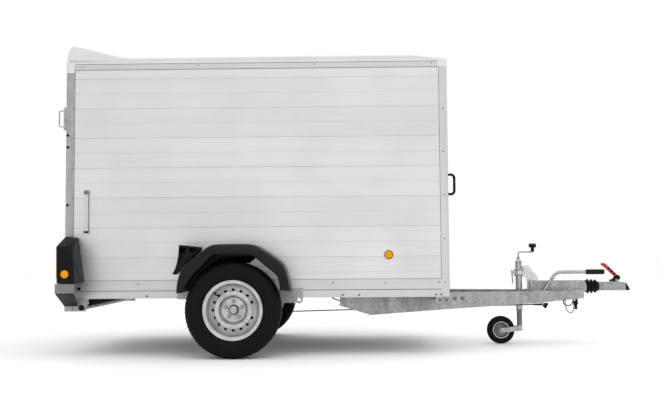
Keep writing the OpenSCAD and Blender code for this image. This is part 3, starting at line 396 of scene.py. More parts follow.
# The mat prints through about 7 mm wide, the laminate ripples over 200 mm, and rain leaves upright grime.
white_gelcoat, tree, place = start("white_polyester_gelcoat")
print_through = node(tree, "ShaderNodeTexNoise", {"Vector": place, "Scale": 140, "Detail": 3})
ripple = node(tree, "ShaderNodeTexNoise", {"Vector": place, "Scale": 5, "Detail": 2})
height = node(tree, "ShaderNodeMath", {0: ripple.outputs[0], 1: 6, 2: print_through.outputs[0]},
              operation="MULTIPLY_ADD")
washed_down = stretched(tree, place, 3, 3, 12)
grime = node(tree, "ShaderNodeTexNoise", {"Vector": washed_down, "Scale": 1, "Detail": 7})
weathered(tree, grime.outputs[0], ("#d3d3d2", "#c8c8c6"), (0.22, 0.4), height.outputs[0], 0.0002, 0.3,
          span=(0.35, 0.75), IOR=1.5, Coat_Weight=0.25, Coat_Roughness=0.12)
dress(hood, "chassis", white_gelcoat, "white_polyester", "roof_hood")
for side, which in SIDES:
    rim = [(-1104, 1986), (1370, 1986), (1370, 2000.5), (-1104, 2000.5)]
    dress(slab("roof_hood_rim_" + which, rim, side * 683.2, side * 686.4, 1), "chassis", white_gelcoat,
          "white_polyester")
foot = [(-1166, y) for y in (-600, 0, 600)] + [(-1164, 668), (-1150, 673)]
foot += [(x, 674) for x in (-800, 0, 800, 1400)] + [(1424, 670), (1430, 655)]
foot += [(1431, y) for y in (300, 0, -300, -655)] + [(1424, -670)]
foot += [(x, -674) for x in (1400, 800, 0, -800)] + [(-1150, -673), (-1164, -668)]
bead = cord("roof_hood_bead", [spot(x, y, RAIL_TOP + 3) for x, y in foot], 0.0035)
bead.data.splines[0].use_cyclic_u = True
dress(bead, "chassis", white_gelcoat, "white_polyester")

# ---- seals and painted shadow lines ----
# Black EPDM strips in the joints between the planks, the rails and the posts, where they close the box
# against spray and also stand in for the shade that falls in these joints as painted shadow lines. They
# sit just under the rails' faces, so each joint reads as a thin dark line.

# EPDM rubber, dark for the painted shadow lines: matt and faintly porous. The pores are drawn 2.5 mm
# wide, so that they show.
shadow_line_seal_rubber, tree, place = start("black_epdm_seal_painted_shadow")
pores = node(tree, "ShaderNodeTexNoise", {"Vector": place, "Scale": 400, "Detail": 3})
weathered(tree, pores.outputs[0], ("#2a2a2a", "#444444"), 0.8, pores.outputs[0], 0.0002, 0.4,
          Specular_IOR_Level=0.2)


def block(name, low, high, round_off, segments=3, smooth_angle=40):
    """A block between two corners, its edges rounded; all in millimetres from the axle."""
    shape = bmesh.new()
    bmesh.ops.create_cube(shape, size=1)
    ends = list(zip(spot(*low), spot(*high)))
    for corner in shape.verts:
        corner.co = Vector([min(pair) if c < 0 else max(pair) for c, pair in zip(corner.co, ends)])
    bmesh.ops.bevel(shape, geom=shape.edges[:] + shape.verts[:], offset=round_off / 1000, segments=segments,
                    profile=0.6, affect="EDGES", clamp_overlap=True)
    return keep(name, shape, smooth_angle)


WALL = 680.1                        # the walls' outer face
for side, which in SIDES:
    for label, x0, x1, z0, z1, depth in (
            ("rail_foot", -1108, 1379, 1944.6, 1947, 1.8), ("rail_top", -1104, 1370, 1984, 1986, 3.8),
            ("sill_lip", -1108, 1379, 505, 507, 1.8), ("sill_slot", -1108, 1379, 433.4, 436.6, 0.6),
            ("front_joint", 1378, 1379.9, 507, 1945, 2), ("rear_joint", -1108.9, -1106.9, 507, 1945, 1)):
        # A seal strip, drawn dark as a painted shadow line along its joint.
        shadow_line_seal = block("seal_%s_%s" % (label, which), (x0, side * WALL, z0), (x1, side * (WALL + depth), z1),
                     0.3, 1, 35)
        dress(shadow_line_seal, "chassis", shadow_line_seal_rubber, "black_rubber")

# ---- fasteners ----
# Domed rivets along the rails and zinc-plated bolt heads on the sill and the beams. Small, and
# in a darker, duller grey than the bright plate of the parts that are handled.

# Bright zinc plate: glossy between patches of white rust about 20 mm wide.
zinc_plated_steel, tree, place = start("bright_zinc_plated_steel")
bloom = node(tree, "ShaderNodeTexNoise", {"Vector": place, "Scale": 45, "Detail": 6, "Roughness": 0.7})
weathered(tree, bloom.outputs[0], ("#b4b6b8", "#868888"), (0.24, 0.42), bloom.outputs[0], 0.0001, 0.3,
          span=(0.4, 0.7), Metallic=1.0)
# The same plate in a darker, duller grey, with a mottle of about 6 mm.
dull_zinc, tree, place = start("dark_grey_zinc_fasteners")
bloom = node(tree, "ShaderNodeTexNoise", {"Vector": place, "Scale": 160, "Detail": 5})
weathered(tree, bloom.outputs[0], ("#4e5051", "#8a8c8d"), 0.45, bloom.outputs[0], 0.0001, 0.3, Metallic=0.9)
# The top rail's rivets are turned one by one below, so the copy leaves them out.
eased("bolts_and_post_rivets", "fasteners", 0.4, 2, dull_zinc, "zinc_plated_steel",
      where=lambda x, y, z: not (1950 < z < 1966 and abs(y) > 682.5))


def lathe(name, outline, centre, axis="Y", steps=64, shade=40, radius_at=None, side=1):
    """A turned piece: outline holds (radius, place along the axis) in millimetres about centre, and a
    side of -1 turns it round to face the other way. An outline that isn't closed gets flat ends."""
    shape = bmesh.new()
    rings = []
    spin = {"X": Matrix(((0, 0, 1), (1, 0, 0), (0, 1, 0))), "Y": Matrix(((1, 0, 0), (0, 0, 1), (0, 1, 0))),
            "Z": Matrix.Identity(3)}[axis]
    for i, (radius, along) in enumerate(outline):
        ring = []
        for k in range(steps if radius > 0 else 1):
            a = math.tau * k / steps
            r = radius + (radius_at(i, k) if radius_at else 0)
            place = Vector(centre) + spin @ Vector((r * math.cos(a), r * math.sin(a), side * along))
            ring.append(shape.verts.new(spot(*place)))
        rings.append(ring)
    for a, b in zip(rings, rings[1:]):
        for k in range(steps):
            j = (k + 1) % steps
            corners = [a[k % len(a)], a[j % len(a)], b[j % len(b)], b[k % len(b)]]
            corners = [c for n, c in enumerate(corners) if c not in corners[:n]]
            if len(corners) > 2:
                shape.faces.new(corners)
    if outline[0] == outline[-1]:
        bmesh.ops.remove_doubles(shape, verts=shape.verts, dist=1e-6)
    else:
        for ring in (rings[0], rings[-1]):
            if len(ring) > 1:
                shape.faces.new(ring)
    bmesh.ops.recalc_face_normals(shape, faces=shape.faces)
    return keep(name, shape, shade)


rivet_head = [(4.2, 0), (4.2, 0.8), (3.2, 2), (1.4, 2.5), (0, 2.6)]
for side, which in SIDES:
    for k, (x, z) in enumerate([(-1058, 1970), (-264, 1971), (533, 1974), (1332, 1974)], 1):
        rivet = lathe("rail_rivet_%d_%s" % (k, which), rivet_head, (x, side * 683, z), steps=20, side=side)
        dress(rivet, "chassis", dull_zinc, "zinc_plated_steel")

# ---- plastic plugs ----
# Black polyethylene plugs pressed into the post's holes and over the cross tube's ends. Moulded with
# a fine spark-eroded grain, so dull, with a pale bloom from the sun.

# The spark-eroded grain is drawn 1.4 mm wide, and the bloom lies in patches of about 70 mm.
black_plastic, tree, place = start("grained_black_polypropylene")
grain = node(tree, "ShaderNodeTexVoronoi", {"Vector": place, "Scale": 700})
bloom = node(tree, "ShaderNodeTexNoise", {"Vector": place, "Scale": 14, "Detail": 7, "Roughness": 0.65})
weathered(tree, bloom.outputs[0], ("#070708", "#141413"), (0.42, 0.6), grain.outputs[0], 0.0003, 0.35,
          span=(0.35, 0.75), IOR=1.49, Specular_IOR_Level=0.14)
eased("post_plugs", "plastic_plugs", 0.7, 2, black_plastic, "black_plastic")

# ---- side reflectors ----
# Round amber reflectors: a clear-coloured acrylic face over a moulded field of corner cubes about 4 mm
# across, ultrasonically welded into a black backing with a raised rim.


def lens_plastic(name, dark, light):
    """Coloured acrylic lens, smooth outside, with a field of corner cubes moulded inside."""
    made, tree, place = start(name)
    cubes = node(tree, "ShaderNodeTexVoronoi", {"Vector": place, "Scale": 260}, feature="F1",
                 distance="CHEBYCHEV")
    rows = node(tree, "ShaderNodeTexWave", {"Vector": place, "Scale": 38}, bands_direction="Z",
                wave_profile="TRI")
    cell = node(tree, "ShaderNodeMath", {0: cubes.outputs[0], 1: 1.4, 2: rows.outputs[1]},
                operation="MULTIPLY_ADD")
    weathered(tree, cell.outputs[0], (dark, light), 0.16, cell.outputs[0], 0.0004, 0.35,
              span=(0.2, 1.4), IOR=1.49, Specular_IOR_Level=0.1)
    return made


amber_lens = lens_plastic("amber_acrylic_lens", "#b06800", "#f4a200")
reflector_face = [(0, 5.6), (12, 5.4), (22, 4.8), (25.6, 4), (26, 2)]
reflector_rim = [(26, 1), (26, 4.6), (26.8, 5.6), (28.4, 5.8), (29.6, 5), (30, 3.6), (30, 0.2), (26, 1)]
for side, which in SIDES:
    for label, x, y, z in (("front", 1027, 680, 668), ("rear", -1086, 925, 556)):
        end = "%s_%s" % (which, label)
        centre = (x, side * y, z)
        stands_for = ["side_reflectors"] if label == "front" else []
        face = lathe("reflector_lens_" + end, reflector_face, centre, steps=48, side=side)
        dress(face, "chassis", amber_lens, "amber_lens", *stands_for)
        rim = lathe("reflector_rim_" + end, reflector_rim, centre, steps=48, side=side)
        dress(rim, "chassis", black_plastic, "black_plastic")

# ---- lamp carriers and rear lamps ----
# Black polypropylene corner pieces that lean out behind the wheels and carry a three-chamber lamp
# each: tail and brake light in red, then the indicator in amber, clipped in a common black frame.

carrier_corners = [
    (-1139, 925, 495), (-1025, 925, 495), (-1072, 925, 740), (-1144, 925, 734), (-1112, 810, 804),
    (-1140, 750, 804), (-1072, 700, 796), (-1072, 687, 796), (-1158, 687, 796), (-1028, 687, 497),
    (-1158, 687, 495), (-1038, 905, 640), (-1046, 880, 700)]
red_lens = lens_plastic("red_acrylic_lens", "#6d0a0c", "#c51e1c")
for side, which in SIDES:
    shape = bmesh.new()
    for x, y, z in carrier_corners:
        shape.verts.new(spot(x, side * y, z))
    hull = bmesh.ops.convex_hull(shape, input=shape.verts)
    bmesh.ops.delete(shape, geom=hull["geom_interior"] + hull["geom_unused"], context="VERTS")
    bmesh.ops.dissolve_limit(shape, angle_limit=math.radians(2), verts=shape.verts, edges=shape.edges)
    bmesh.ops.recalc_face_normals(shape, faces=shape.faces)
    carrier = keep("lamp_carrier_" + which, shape)
    soften(carrier, 7, 4, 0.2)
    dress(carrier, "chassis", black_plastic, "black_plastic", "lamp_carriers")
    for label, y0, y1, material, slot in (("tail", 722, 775, red_lens, "red_lens"),
                                          ("brake", 777, 830, red_lens, "red_lens"),
                                          ("indicator", 832, 888, amber_lens, "amber_lens")):
        lamp = block("lamp_%s_%s" % (label, which), (-1156, side * y0, 532), (-1130, side * y1, 698), 5)
        dress(lamp, "chassis", material, slot, "rear_lamps")

# ---- rear steelwork ----
# Folded lamp supports in a grey powder coat darkened by painted shade, black sloping braces, gussets
# whose black is partly their own and partly painted shade from behind the posts, and the galvanised feet
# of the door posts with the cross tube between them. One bracket node in the CAD, split here by place.

# Powder coat, its grey darkened by painted shade: an orange-peel drawn 1.7 mm wide under a faint
# haze of dust.
bumper_paint_and_shade, tree, place = start("grey_powder_coat_painted_shade")
grit = node(tree, "ShaderNodeTexNoise", {"Vector": place, "Scale": 600, "Detail": 2})
haze = node(tree, "ShaderNodeTexNoise", {"Vector": place, "Scale": 9, "Detail": 6})
weathered(tree, haze.outputs[0], ("#666768", "#7f8081"), 0.45, grit.outputs[0], 0.0002, 0.3)

BRACE_TOP, POST_FACE = 431.8, 684.5     # where the braces meet the supports, and how far out the posts reach


def at_gusset(x, y):
    """Whether a place is on one of the two gussets inside the posts."""
    return 635 < abs(y) < 641 and x > -1015


# The supports' grey coat carries painted shade.
eased("lamp_supports", "rear_brackets", 2, 2, bumper_paint_and_shade, "black_plastic",
      where=lambda x, y, z: abs(y) > 683 and z > BRACE_TOP and x < -1019)
eased("lamp_braces", "rear_brackets", 1.2, 2, black_plastic, "black_plastic",
      where=lambda x, y, z: abs(y) > POST_FACE and z <= BRACE_TOP)
# The gussets' black is partly their own and partly painted shade from behind the posts.
eased("post_gussets_painted_shade", "rear_brackets", 1.2, 2, black_plastic, "black_plastic",
      where=lambda x, y, z: at_gusset(x, y))
eased("post_feet_and_cross_tube", "rear_brackets", 1.2, 2, galvanised_steel, "galvanised_steel",
      where=lambda x, y, z: abs(y) < POST_FACE and z < 385 and not at_gusset(x, y))

# ---- ramp ----
# The tailgate ramp: cross planks in a frame of edge channels, hung on three knuckles, with hard
# rubber-faced treads across its inside for the animals' feet.

carry(cross_planks, "ramp_planks")
carry(cross_rail, "ramp_frame")

# Hard rubber with ribs 8 mm apart, scuffed to brown where hooves land.
tread_rubber, tree, place = start("ribbed_tread_rubber")
ribs = node(tree, "ShaderNodeTexWave", {"Vector": place, "Scale": 40}, bands_direction="Y")
scuff = node(tree, "ShaderNodeTexNoise", {"Vector": place, "Scale": 25, "Detail": 6})
weathered(tree, scuff.outputs[0], ("#262524", "#48443f"), 0.75, ribs.outputs[1], 0.0015, 0.7)
eased("ramp_treads_rubber", "ramp_treads", 3, 2, tread_rubber, "black_rubber", "ramp")

# ---- latches, stay and handles ----
# Zinc-plated turn latches with their tongues and bases, the drawn aluminium stay that hangs on the
# right-hand wall in a clasp, and bow handles on the front with a black dip coat.

for side, which in SIDES:
    latch = "latch_" + which
    eased("ramp_" + latch, latch, 1.5, 2, zinc_plated_steel, "zinc_plated_steel", latch)
eased("latch_bases", "wall_brackets", 1.2, 2, zinc_plated_steel, "zinc_plated_steel")
carry(satin_rail, "stay_rod")
dress(block("stay_foot", (-1036, -703, 829), (-1004, -685, 842), 3), "stay", black_plastic, "black_plastic")
clasp = [(5, 4), (16, 4), (17, 6), (17, 9), (12, 11), (10, 21), (14, 22), (14, 25), (9, 28), (0, 28.4)]
dress(lathe("stay_clasp", clasp, (-1020, -680, 1102), steps=32, shade=30, side=-1), "chassis", dull_zinc,
      "zinc_plated_steel")
carry(black_plastic, "grab_handles")

# ---- swing arms, drums and hubs ----
# Forged trailing arms on rubber cords in the axle tube, with cast-iron brake drums, pressed hub
# flanges, grease caps and five plated bolts. Black chassis paint, dusty and rust-tinged in patches.

# Brushed paint: lumps of about 6 mm, with dust and rust in patches of about 60 mm.
chassis_paint, tree, place = start("black_chassis_paint")
lump = node(tree, "ShaderNodeTexNoise", {"Vector": place, "Scale": 160, "Detail": 4})
dirt = node(tree, "ShaderNodeTexNoise", {"Vector": place, "Scale": 16, "Detail": 7, "Roughness": 0.7})
weathered(tree, dirt.outputs[0], ("#101011", "#27231f"), (0.4, 0.75), lump.outputs[0], 0.0004, 0.4,
          span=(0.5, 0.72), Specular_IOR_Level=0.15)
carry(chassis_paint, "swing_arm_right", "swing_arm_left", "hub_right", "hub_left")
HALF_TRACK, AXLE_Z = 825, 314.5     # the wheels' middles: out from the trailer's middle, up from the ground
BOLT_CIRCLE = 56                    # radius of the wheel bolts' circle
grease_cap = [(29.3, 25), (29.3, 32), (28.6, 35), (26.4, 38), (22.4, 41.3), (17, 43.2), (9, 44.4), (0, 44.8)]
bolt_head = [(12.2, 15.2), (12.2, 17), (9.8, 18.6), (9.6, 26), (8.6, 27.2), (0, 27.4)]
for side, which in SIDES:
    turned = [lathe("grease_cap_" + which, grease_cap, (0, side * HALF_TRACK, AXLE_Z), steps=48, side=side)]
    for k in range(5):
        a = math.radians(90 - 72 * k)
        centre = (BOLT_CIRCLE * math.cos(a), side * HALF_TRACK, AXLE_Z + BOLT_CIRCLE * math.sin(a))
        name = "wheel_bolt_%s_%d" % (which, k + 1)
        turned.append(lathe(name, bolt_head, centre, steps=6, shade=25, side=side))
    for piece in turned:
        dress(piece, "wheel_" + which, zinc_plated_steel, "zinc_plated_steel")

# ---- road wheels ----
# Pressed steel discs welded into rolled rims, sprayed with silver wheel enamel over primer: fine
# metallic flake under a clear coat, duller where brake dust has settled.

# The flake is drawn 1 mm wide, so that it shows, and brake dust lies in patches of about 80 mm.
silver_enamel, tree, place = start("silver_wheel_enamel")
flake = node(tree, "ShaderNodeTexVoronoi", {"Vector": place, "Scale": 900})
dust = node(tree, "ShaderNodeTexNoise", {"Vector": place, "Scale": 12, "Detail": 7, "Roughness": 0.65})
weathered(tree, dust.outputs[0], ("#bfc0c1", "#9c9d9d"), (0.3, 0.5), flake.outputs[0], 0.0001, 0.2,
          span=(0.42, 0.72), Metallic=0.75, Coat_Weight=0.3, Coat_Roughness=0.15)
carry(silver_enamel, "rim_right", "rim_left")

# ---- road tyres ----
# Radial trailer tyres: black rubber with four grooves round the tread, cross cuts in the shoulders and
# the ribs, and moulded rings on the sidewall. Satin black, with road dust in patches.

# Carbon-black rubber: a skin grain drawn 4 mm wide, and road dust in patches of about 100 mm.
tyre_rubber, tree, place = start("black_tyre_rubber")
grain = node(tree, "ShaderNodeTexNoise", {"Vector": place, "Scale": 260, "Detail": 4})
dust = node(tree, "ShaderNodeTexNoise", {"Vector": place, "Scale": 10, "Detail": 8, "Roughness": 0.7})
weathered(tree, dust.outputs[0], ("#040405", "#0f0f0e"), (0.5, 0.75), grain.outputs[0], 0.0002, 0.4,
          span=(0.4, 0.75), IOR=1.52, Specular_IOR_Level=0.12)

PITCHES = 66                        # cross cuts round each shoulder
wall = [(178.1, 60), (183, 64.5), (190, 66.5), (196, 69), (199, 72.5), (203, 74.5), (206, 74), (208, 75),
        (214, 80.5), (222, 86.5), (231, 91), (236, 93), (237, 94.3), (240, 94.8), (241, 93.9), (248, 96.4),
        (256, 97.6), (264, 97.6), (270, 96.7), (271, 97.8), (275, 97.4), (276, 95.9), (282, 94.2),
        (288, 91.2), (294, 87.3)]
shoulder = [(299, 83), (304, 79.5), (307.5, 76), (310.5, 70), (312, 64), (312.8, 56)]
tread = [(313, 51.6), (306, 50.6), (306, 45.4), (313.6, 44.4), (314.2, 32), (314.2, 20.6), (307, 19.6),
         (307, 14.4), (314.4, 13.4), (314.5, 6.5)]
half = wall + shoulder + tread
inside = [(178.1, 58), (196, 55), (252, 86), (284, 80), (300, 48)]
tyre_outline = [(178.1, -58)] + [(r, -a) for r, a in half] + half[::-1] + inside
tyre_outline += [(r, -a) for r, a in reversed(inside)]


def cut_at(i, k):
    """Depth of a tread cut at outline point i and step k round the tyre."""
    radius, along = tyre_outline[i]
    if i > 2 * len(half) or radius < 299:
        return 0
    step = k % 4
    if abs(along) > 52:
        return -5.5 if step == 0 and radius > 300 else 0
    if 21 < abs(along) < 44:
        return -4.5 if step == 2 else 0
    return -2.5 if abs(along) < 13 and step == 0 and k % 8 == 0 else 0


for side, which in SIDES:
    tyre = lathe("road_tyre_" + which, tyre_outline, (0, side * HALF_TRACK, AXLE_Z), steps=PITCHES * 4,
                 shade=28, radius_at=cut_at, side=side)
    dress(tyre, "wheel_" + which, tyre_rubber, "tyre_rubber", "tyre_" + which)
    stem = rounded([(-r * 0.74, side * (HALF_TRACK + y), AXLE_Z + r * 0.673)
                    for r, y in ((171, 20), (166, 34), (158, 44), (142, 56))])
    dress(cord("valve_stem_" + which, stem, 0.0048), "wheel_" + which, tyre_rubber, "tyre_rubber")

# ---- mudguards ----
# Vacuum-formed black polyethylene guards that follow the wheel in flats, with a skirt round their
# outer edge. The draw leaves round edges and a leathery grain.

# Polyethylene with leather cells of 3 mm, and a dusty bloom over the width of the guard.
guard_grain, tree, place = start("vacuum_formed_black_polyethylene")
leather = node(tree, "ShaderNodeTexVoronoi", {"Vector": place, "Scale": 320}, feature="DISTANCE_TO_EDGE")
bloom = node(tree, "ShaderNodeTexNoise", {"Vector": place, "Scale": 7, "Detail": 8, "Roughness": 0.65})
weathered(tree, bloom.outputs[0], ("#060607", "#121211"), (0.3, 0.45), leather.outputs[0], 0.0004, 0.4,
          span=(0.38, 0.75), IOR=1.5, Specular_IOR_Level=0.2)
# The guard's outer line and its lip's, seen from the side: along the trailer and up, from the axle.
guard_top = [(-367, 115), (-362, 172), (-345, 242), (-320, 285), (-279, 328), (-215, 376), (-147, 423),
             (-110, 430), (0, 431), (110, 430), (150, 421), (215, 382), (279, 340), (318, 306), (339, 279),
             (362, 210), (379, 123)]
guard_lip = [(-319, 115), (-305, 155), (-266, 217), (-195, 290), (-130, 356), (-100, 362), (0, 362),
             (100, 361), (142, 350), (210, 290), (275, 238), (298, 214), (308, 170), (310, 132)]


def walked(points, steps=96):
    """An outline in even steps along its length, its corners eased."""
    spans = [math.dist(a, b) for a, b in zip(points, points[1:])]
    even = []
    for k in range(steps + 1):
        left = sum(spans) * k / steps
        i = 0
        while i < len(spans) - 1 and left > spans[i]:
            left -= spans[i]
            i += 1
        t = min(left / spans[i], 1)
        even.append(Vector(points[i]).lerp(Vector(points[i + 1]), t))
    for _ in range(4):
        even = [even[0], *[(a + 2 * b + c) / 4 for a, b, c in zip(even, even[1:], even[2:])], even[-1]]
    return even


for side, which in SIDES:
    shape = bmesh.new()
    rows = []
    for top, lip in zip(walked(guard_top), walked(guard_lip)):
        inward = (lip - top).normalized()
        depth = (lip - top).length
        apron = 14 + 118 * min(max((215 - top.x) / 65, 0), 1)
        section = [(691, apron), (691, apron / 2), (691, 1), (694, 0), (760, 0), (830, 0), (894, 0)]
        bend = [math.radians(12 * k) for k in range(1, 8)]
        section += [(894 + 38 * math.sin(t), 28 - 28 * math.cos(t)) for t in bend]
        section += [(934 + 5.5 * math.sin(math.pi * k / 7), 28 + (depth - 36) * k / 7) for k in range(1, 7)]
        section += [(933, depth - 6), (930, depth - 2), (925, depth), (918, depth - 1)]
        rows.append([shape.verts.new(spot(top.x + inward.x * d, side * y, AXLE_Z + top.y + inward.y * d))
                     for y, d in section])
    for a, b in zip(rows, rows[1:]):
        for corners in zip(a, a[1:], b[1:], b):
            shape.faces.new(corners)
    bmesh.ops.recalc_face_normals(shape, faces=shape.faces)
    guard = keep("mudguard_" + which, shape, 50)
    sheet = guard.modifiers.new("sheet", "SOLIDIFY")
    sheet.thickness, sheet.offset = 0.0035, -1
    dress(guard, "chassis", guard_grain, "black_plastic", "mudguards")

# ---- wheel chocks ----
# Two chocks of black polypropylene behind the wheels, each with a solid heel, a curved face to the
# tyre and open pockets between its webs, pushed onto a pair of capped pegs.

peg_cap = [(7.2, 100.1), (7.2, 101.4), (6, 102.4), (0, 102.6)]
for side, which in SIDES:
    eased("wheel_chock_" + which, "chock_" + which, 2, 3, black_plastic, "black_plastic", "chock_" + which)
    for k, (x, z) in enumerate([(-318, 690), (-272, 706)], 1):
        cap = lathe("chock_peg_cap_%d_%s" % (k, which), peg_cap, (x, side * 742, z), steps=24, side=side)
        dress(cap, "chassis", black_plastic, "black_plastic")

# ---- overrun housing and draw tube ----
# A pressed channel bolted across the beams' noses that guides the sliding draw tube. The channel is
# galvanised; the tube is bright drawn steel.

eased("overrun_housing_pressed", "overrun_housing", 2, 3, galvanised_steel, "galvanised_steel")
carry(zinc_plated_steel, "draw_tube")

# ---- gaiter ----
# Moulded rubber bellows between the housing and the coupling head, held by a clip at each end. Matt
# black, with a faint grey bloom on the folds.

# Nitrile rubber: an uneven skin of about 4 mm, bloomed grey in patches of about 45 mm.
soft_rubber, tree, place = start("black_nitrile_rubber")
fine = node(tree, "ShaderNodeTexNoise", {"Vector": place, "Scale": 240, "Detail": 3})
bloom = node(tree, "ShaderNodeTexNoise", {"Vector": place, "Scale": 22, "Detail": 6})
weathered(tree, bloom.outputs[0], ("#0a0a0b", "#171717"), 0.58, fine.outputs[0], 0.0002, 0.4,
          IOR=1.52, Specular_IOR_Level=0.14)

gaiter_skin = [(44, 0.5), (44.3, 2), (44, 4.5), (40, 6.5), (38.4, 8)]
for k in range(3):
    top, foot = 54 - 2 * k, 8 + 28 * k
    fold = [(38, 1), (40, 2.6), (46, 4.8), (top - 2.4, 6.6), (top - 0.4, 8.4), (top, 10.6), (top - 0.4, 12.8),
            (top - 2.4, 14.6), (45, 16.8), (39.5, 21), (37.2, 24.6)]
    gaiter_skin += [(radius, foot + along) for radius, along in fold]
gaiter_skin += [(36, 93), (36.2, 95), (35.8, 97.5), (32, 97.5), (33, 60), (33.5, 0.5), (44, 0.5)]
gaiter = lathe("gaiter_folds", gaiter_skin, (2527, 0, 423), "X", 72, 50)
gaiter.data.materials.append(soft_rubber)
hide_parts("bellows")
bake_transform(gaiter)

# ---- coupling head ----
# Galvanised casting with the ball socket under its nose, a black nose cap and two through bolts. The
# lever above it has a red nylon grip with black inserts, on a black steel elbow.

NOSE = 2822                         # where the cap begins
eased("coupling_head_casting", "coupling_head", 3, 3, galvanised_steel, "cast_steel", "draw_tube",
      lambda x, y, z: x <= NOSE)
eased("coupling_nose_cap", "coupling_head", 3, 3, black_plastic, "black_plastic", "draw_tube",
      lambda x, y, z: x > NOSE)
coupling_bolt = [(11, 29.6), (11, 31.4), (8.6, 32), (8.4, 36.6), (7, 38), (0, 38.2)]
for x in (2664, 2716):
    for side, which in SIDES:
        name = "coupling_bolt_%d_%s" % (x, which)
        bolt = lathe(name, coupling_bolt, (x, 0, 419), steps=6, shade=25, side=side)
        dress(bolt, "draw_tube", zinc_plated_steel, "zinc_plated_steel")

# Moulded nylon: a peel drawn 2 mm wide, its red faded unevenly by the sun.
red_nylon, tree, place = start("moulded_red_nylon")
peel = node(tree, "ShaderNodeTexNoise", {"Vector": place, "Scale": 500, "Detail": 2})
fade = node(tree, "ShaderNodeTexNoise", {"Vector": place, "Scale": 30, "Detail": 5})
weathered(tree, fade.outputs[0], ("#a8141a", "#cf2a2a"), 0.38, peel.outputs[0], 0.0002, 0.3, IOR=1.53)
grip = [(2768, 508), (2682, 592), (2656, 597), (2649, 584), (2672, 566), (2744, 496), (2754, 500)]
dress(slab("coupling_grip", grip, -12, 12, 3.5), "coupling_lever", red_nylon, "red_plastic", "coupling_lever")
elbow = [(2712, 457), (2769, 458), (2790, 478), (2790, 496), (2768, 508), (2754, 500), (2744, 496),
         (2748, 492), (2730, 474), (2712, 470)]
dress(slab("coupling_elbow", elbow, -11, 11, 2), "coupling_lever", black_plastic, "black_plastic")
way, across = Vector((-0.715, 0.699)), Vector((0.699, 0.715))      # along the grip, and square to it
for k, (x, z) in enumerate([(2744, 517), (2725, 535.5), (2706, 554)], 1):
    corners = [Vector((x, z)) + way * a + across * b for a, b in ((-10, -8), (8, -8), (8, 8), (-10, 8))]
    insert = slab("coupling_grip_insert_%d" % k, corners, -12.6, 12.6, 0.8, 2)
    dress(insert, "coupling_lever", black_plastic, "black_plastic")

# ---- parking brake ----
# Bent steel tube, bright zinc, with a ribbed rubber grip, turning on a pin beside the housing. The
# threaded pull rod under the floor, with its lever and equaliser, is painted black.

carry(zinc_plated_steel, "handbrake_lever")
carry(chassis_paint, "brake_rod")
grip_ribs = [(17.2, 0), (17.8, 1)]
for k in range(13):
    rib = [(17.8, 0), (19, 1.6), (19.2, 3.4), (18.8, 5.2), (17.6, 6.8)]
    grip_ribs += [(radius, 6 + 9.4 * k + along) for radius, along in rib]
grip_ribs += [(18, 130), (18, 133), (16, 134.8), (0, 135)]
dress(lathe("handbrake_grip", grip_ribs, (2520, -60, 531), "X", 40, 50), "handbrake", soft_rubber,
      "black_rubber")

# ---- jockey wheel ----
# A telescopic mast in a cast bracket: outer tube, crank with its screw, inner tube, pressed fork and
# a solid rubber tyre on a dished steel wheel. Bright zinc, the bracket sandy and light, the rim enamelled.

# Sand-cast iron under sprayed zinc: a sandy skin of about 2.4 mm, clouded in light greys.
cast_iron, tree, place = start("zinc_sprayed_cast_iron")
sand = node(tree, "ShaderNodeTexNoise", {"Vector": place, "Scale": 420, "Detail": 4, "Roughness": 0.7})
cloud = node(tree, "ShaderNodeTexNoise", {"Vector": place, "Scale": 20, "Detail": 6, "Roughness": 0.6})
weathered(tree, cloud.outputs[0], ("#dadbdb", "#bcbdbd"), (0.42, 0.6), sand.outputs[0], 0.0004, 0.5,
          span=(0.38, 0.7), Metallic=0.8)
eased("jockey_bracket_casting", "jockey_bracket", 2.5, 3, cast_iron, "cast_steel")
carry(zinc_plated_steel, "clamp_lever", "jockey_mast", "jockey_crank", "jockey_fork")
carry(silver_enamel, "jockey_rim")
carry(dull_zinc, "jockey_inner")
carry(tyre_rubber, "jockey_tyre")
JOCKEY_AXLE, MAST_X = (1893, 0, 103), 2035       # the little wheel's middle, and where the mast stands
dish = [(18, 8.4), (22, 9), (46, 7), (52, 12), (56, 20.4), (54, 21), (50, 14), (44, 9.5), (22, 10.6),
        (18, 10), (18, 8.4)]
axle_nut = [(14, 38.2), (14, 40), (9.5, 40.6), (9.2, 45), (5, 46.6), (0, 46.8)]
for side, which in SIDES:
    pressing = lathe("jockey_dish_" + which, dish, JOCKEY_AXLE, steps=48, side=side)
    dress(pressing, "jockey_wheel", dull_zinc, "silver_rim")
    nut = lathe("jockey_axle_nut_" + which, axle_nut, JOCKEY_AXLE, steps=6, shade=25, side=side)
    dress(nut, "jockey_fork", zinc_plated_steel, "zinc_plated_steel")
collar = [(31.3, 0), (35, 0.8), (35.4, 3), (35, 5.4), (31.3, 6), (31.3, 0)]
for which, z in (("lower", 506), ("upper", 544)):
    dress(lathe("mast_collar_" + which, collar, (MAST_X, 0, z), "Z", 48), "chassis", dull_zinc,
          "zinc_plated_steel")
band = [(24.2, 0), (25.3, 0.6), (25.3, 5), (24.2, 5.6), (24.2, 0)]
for z in (250, 604):
    dress(lathe("mast_band_%d" % z, band, (MAST_X, 0, z), "Z", 48), "jockey_mast", dull_zinc,
          "zinc_plated_steel")
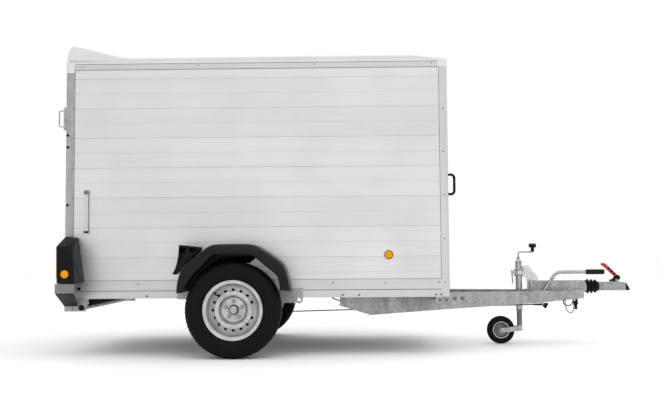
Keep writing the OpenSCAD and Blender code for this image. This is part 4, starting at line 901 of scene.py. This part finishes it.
knob = [(12.4, -31), (12.4, -2), (16, 0.2), (24, 0), (26.6, 2.4), (27.4, 8), (27.4, 20), (26, 26), (21, 30.4),
        (12, 32.4), (0, 33)]
dress(lathe("jockey_knob", knob, (2142, 0, 715), "Z", 40, 45), "jockey_crank", black_plastic, "black_plastic")

# ---- plug and its socket ----
# The lighting plug parked in a dummy socket under the nose: black glass-filled nylon, knurled round
# its nut, with the cable's tail rising from it.

carry(black_plastic, "plug_holder", "trailer_plug")

# ---- studio ----
# A plain pale floor and soft boxes round the trailer: a broad one overhead, two weak ones on the near
# side, one in front and one behind, so that the metal has something bright to show.

# Matt white paper with a soft fibre of about 30 mm.
pale_floor, tree, place = start("matt_studio_paper")
fibre = node(tree, "ShaderNodeTexNoise", {"Vector": place, "Scale": 30, "Detail": 2})
weathered(tree, fibre.outputs[0], ("#ffffff", "#ffffff"), 0.85, fibre.outputs[0], 0.0002, 0.1)
shape = bmesh.new()
bmesh.ops.create_grid(shape, x_segments=2, y_segments=2, size=60)
paper = keep("studio_floor", shape)
paper.data.materials.append(pale_floor)


def soft_box(name, place, target, size, power):
    """A square area light that faces its target."""
    light = bpy.data.objects.new(name, bpy.data.lights.new(name, "AREA"))
    light.data.shape, light.data.size, light.data.energy = "SQUARE", size, power
    light.location = place
    light.rotation_euler = (Vector(target) - Vector(place)).to_track_quat("-Z", "Y").to_euler()
    bpy.context.scene.collection.objects.link(light)


soft_box("overhead_box", (0.5, -1.5, 6.5), (0, 0, 0.8), 6, 105)
soft_box("near_box", (-1.5, -7.5, 4.5), (0, 0, 1.0), 5, 12)
soft_box("low_box", (1.0, -8.5, 1.0), (0, 0, 0.5), 3, 9)
soft_box("front_box", (6.5, -3.5, 3.5), (0.5, 0, 0.8), 4, 12)
soft_box("far_box", (-3, 6.5, 4.5), (0, 0, 1.0), 4, 10)
world = bpy.data.worlds.new("white_studio")
world.use_nodes = True
world.node_tree.nodes["Background"].inputs[0].default_value = (1, 1, 1, 1)
world.node_tree.nodes["Background"].inputs[1].default_value = 1.0
bpy.context.scene.world = world
bpy.context.scene.view_settings.view_transform = "Standard"
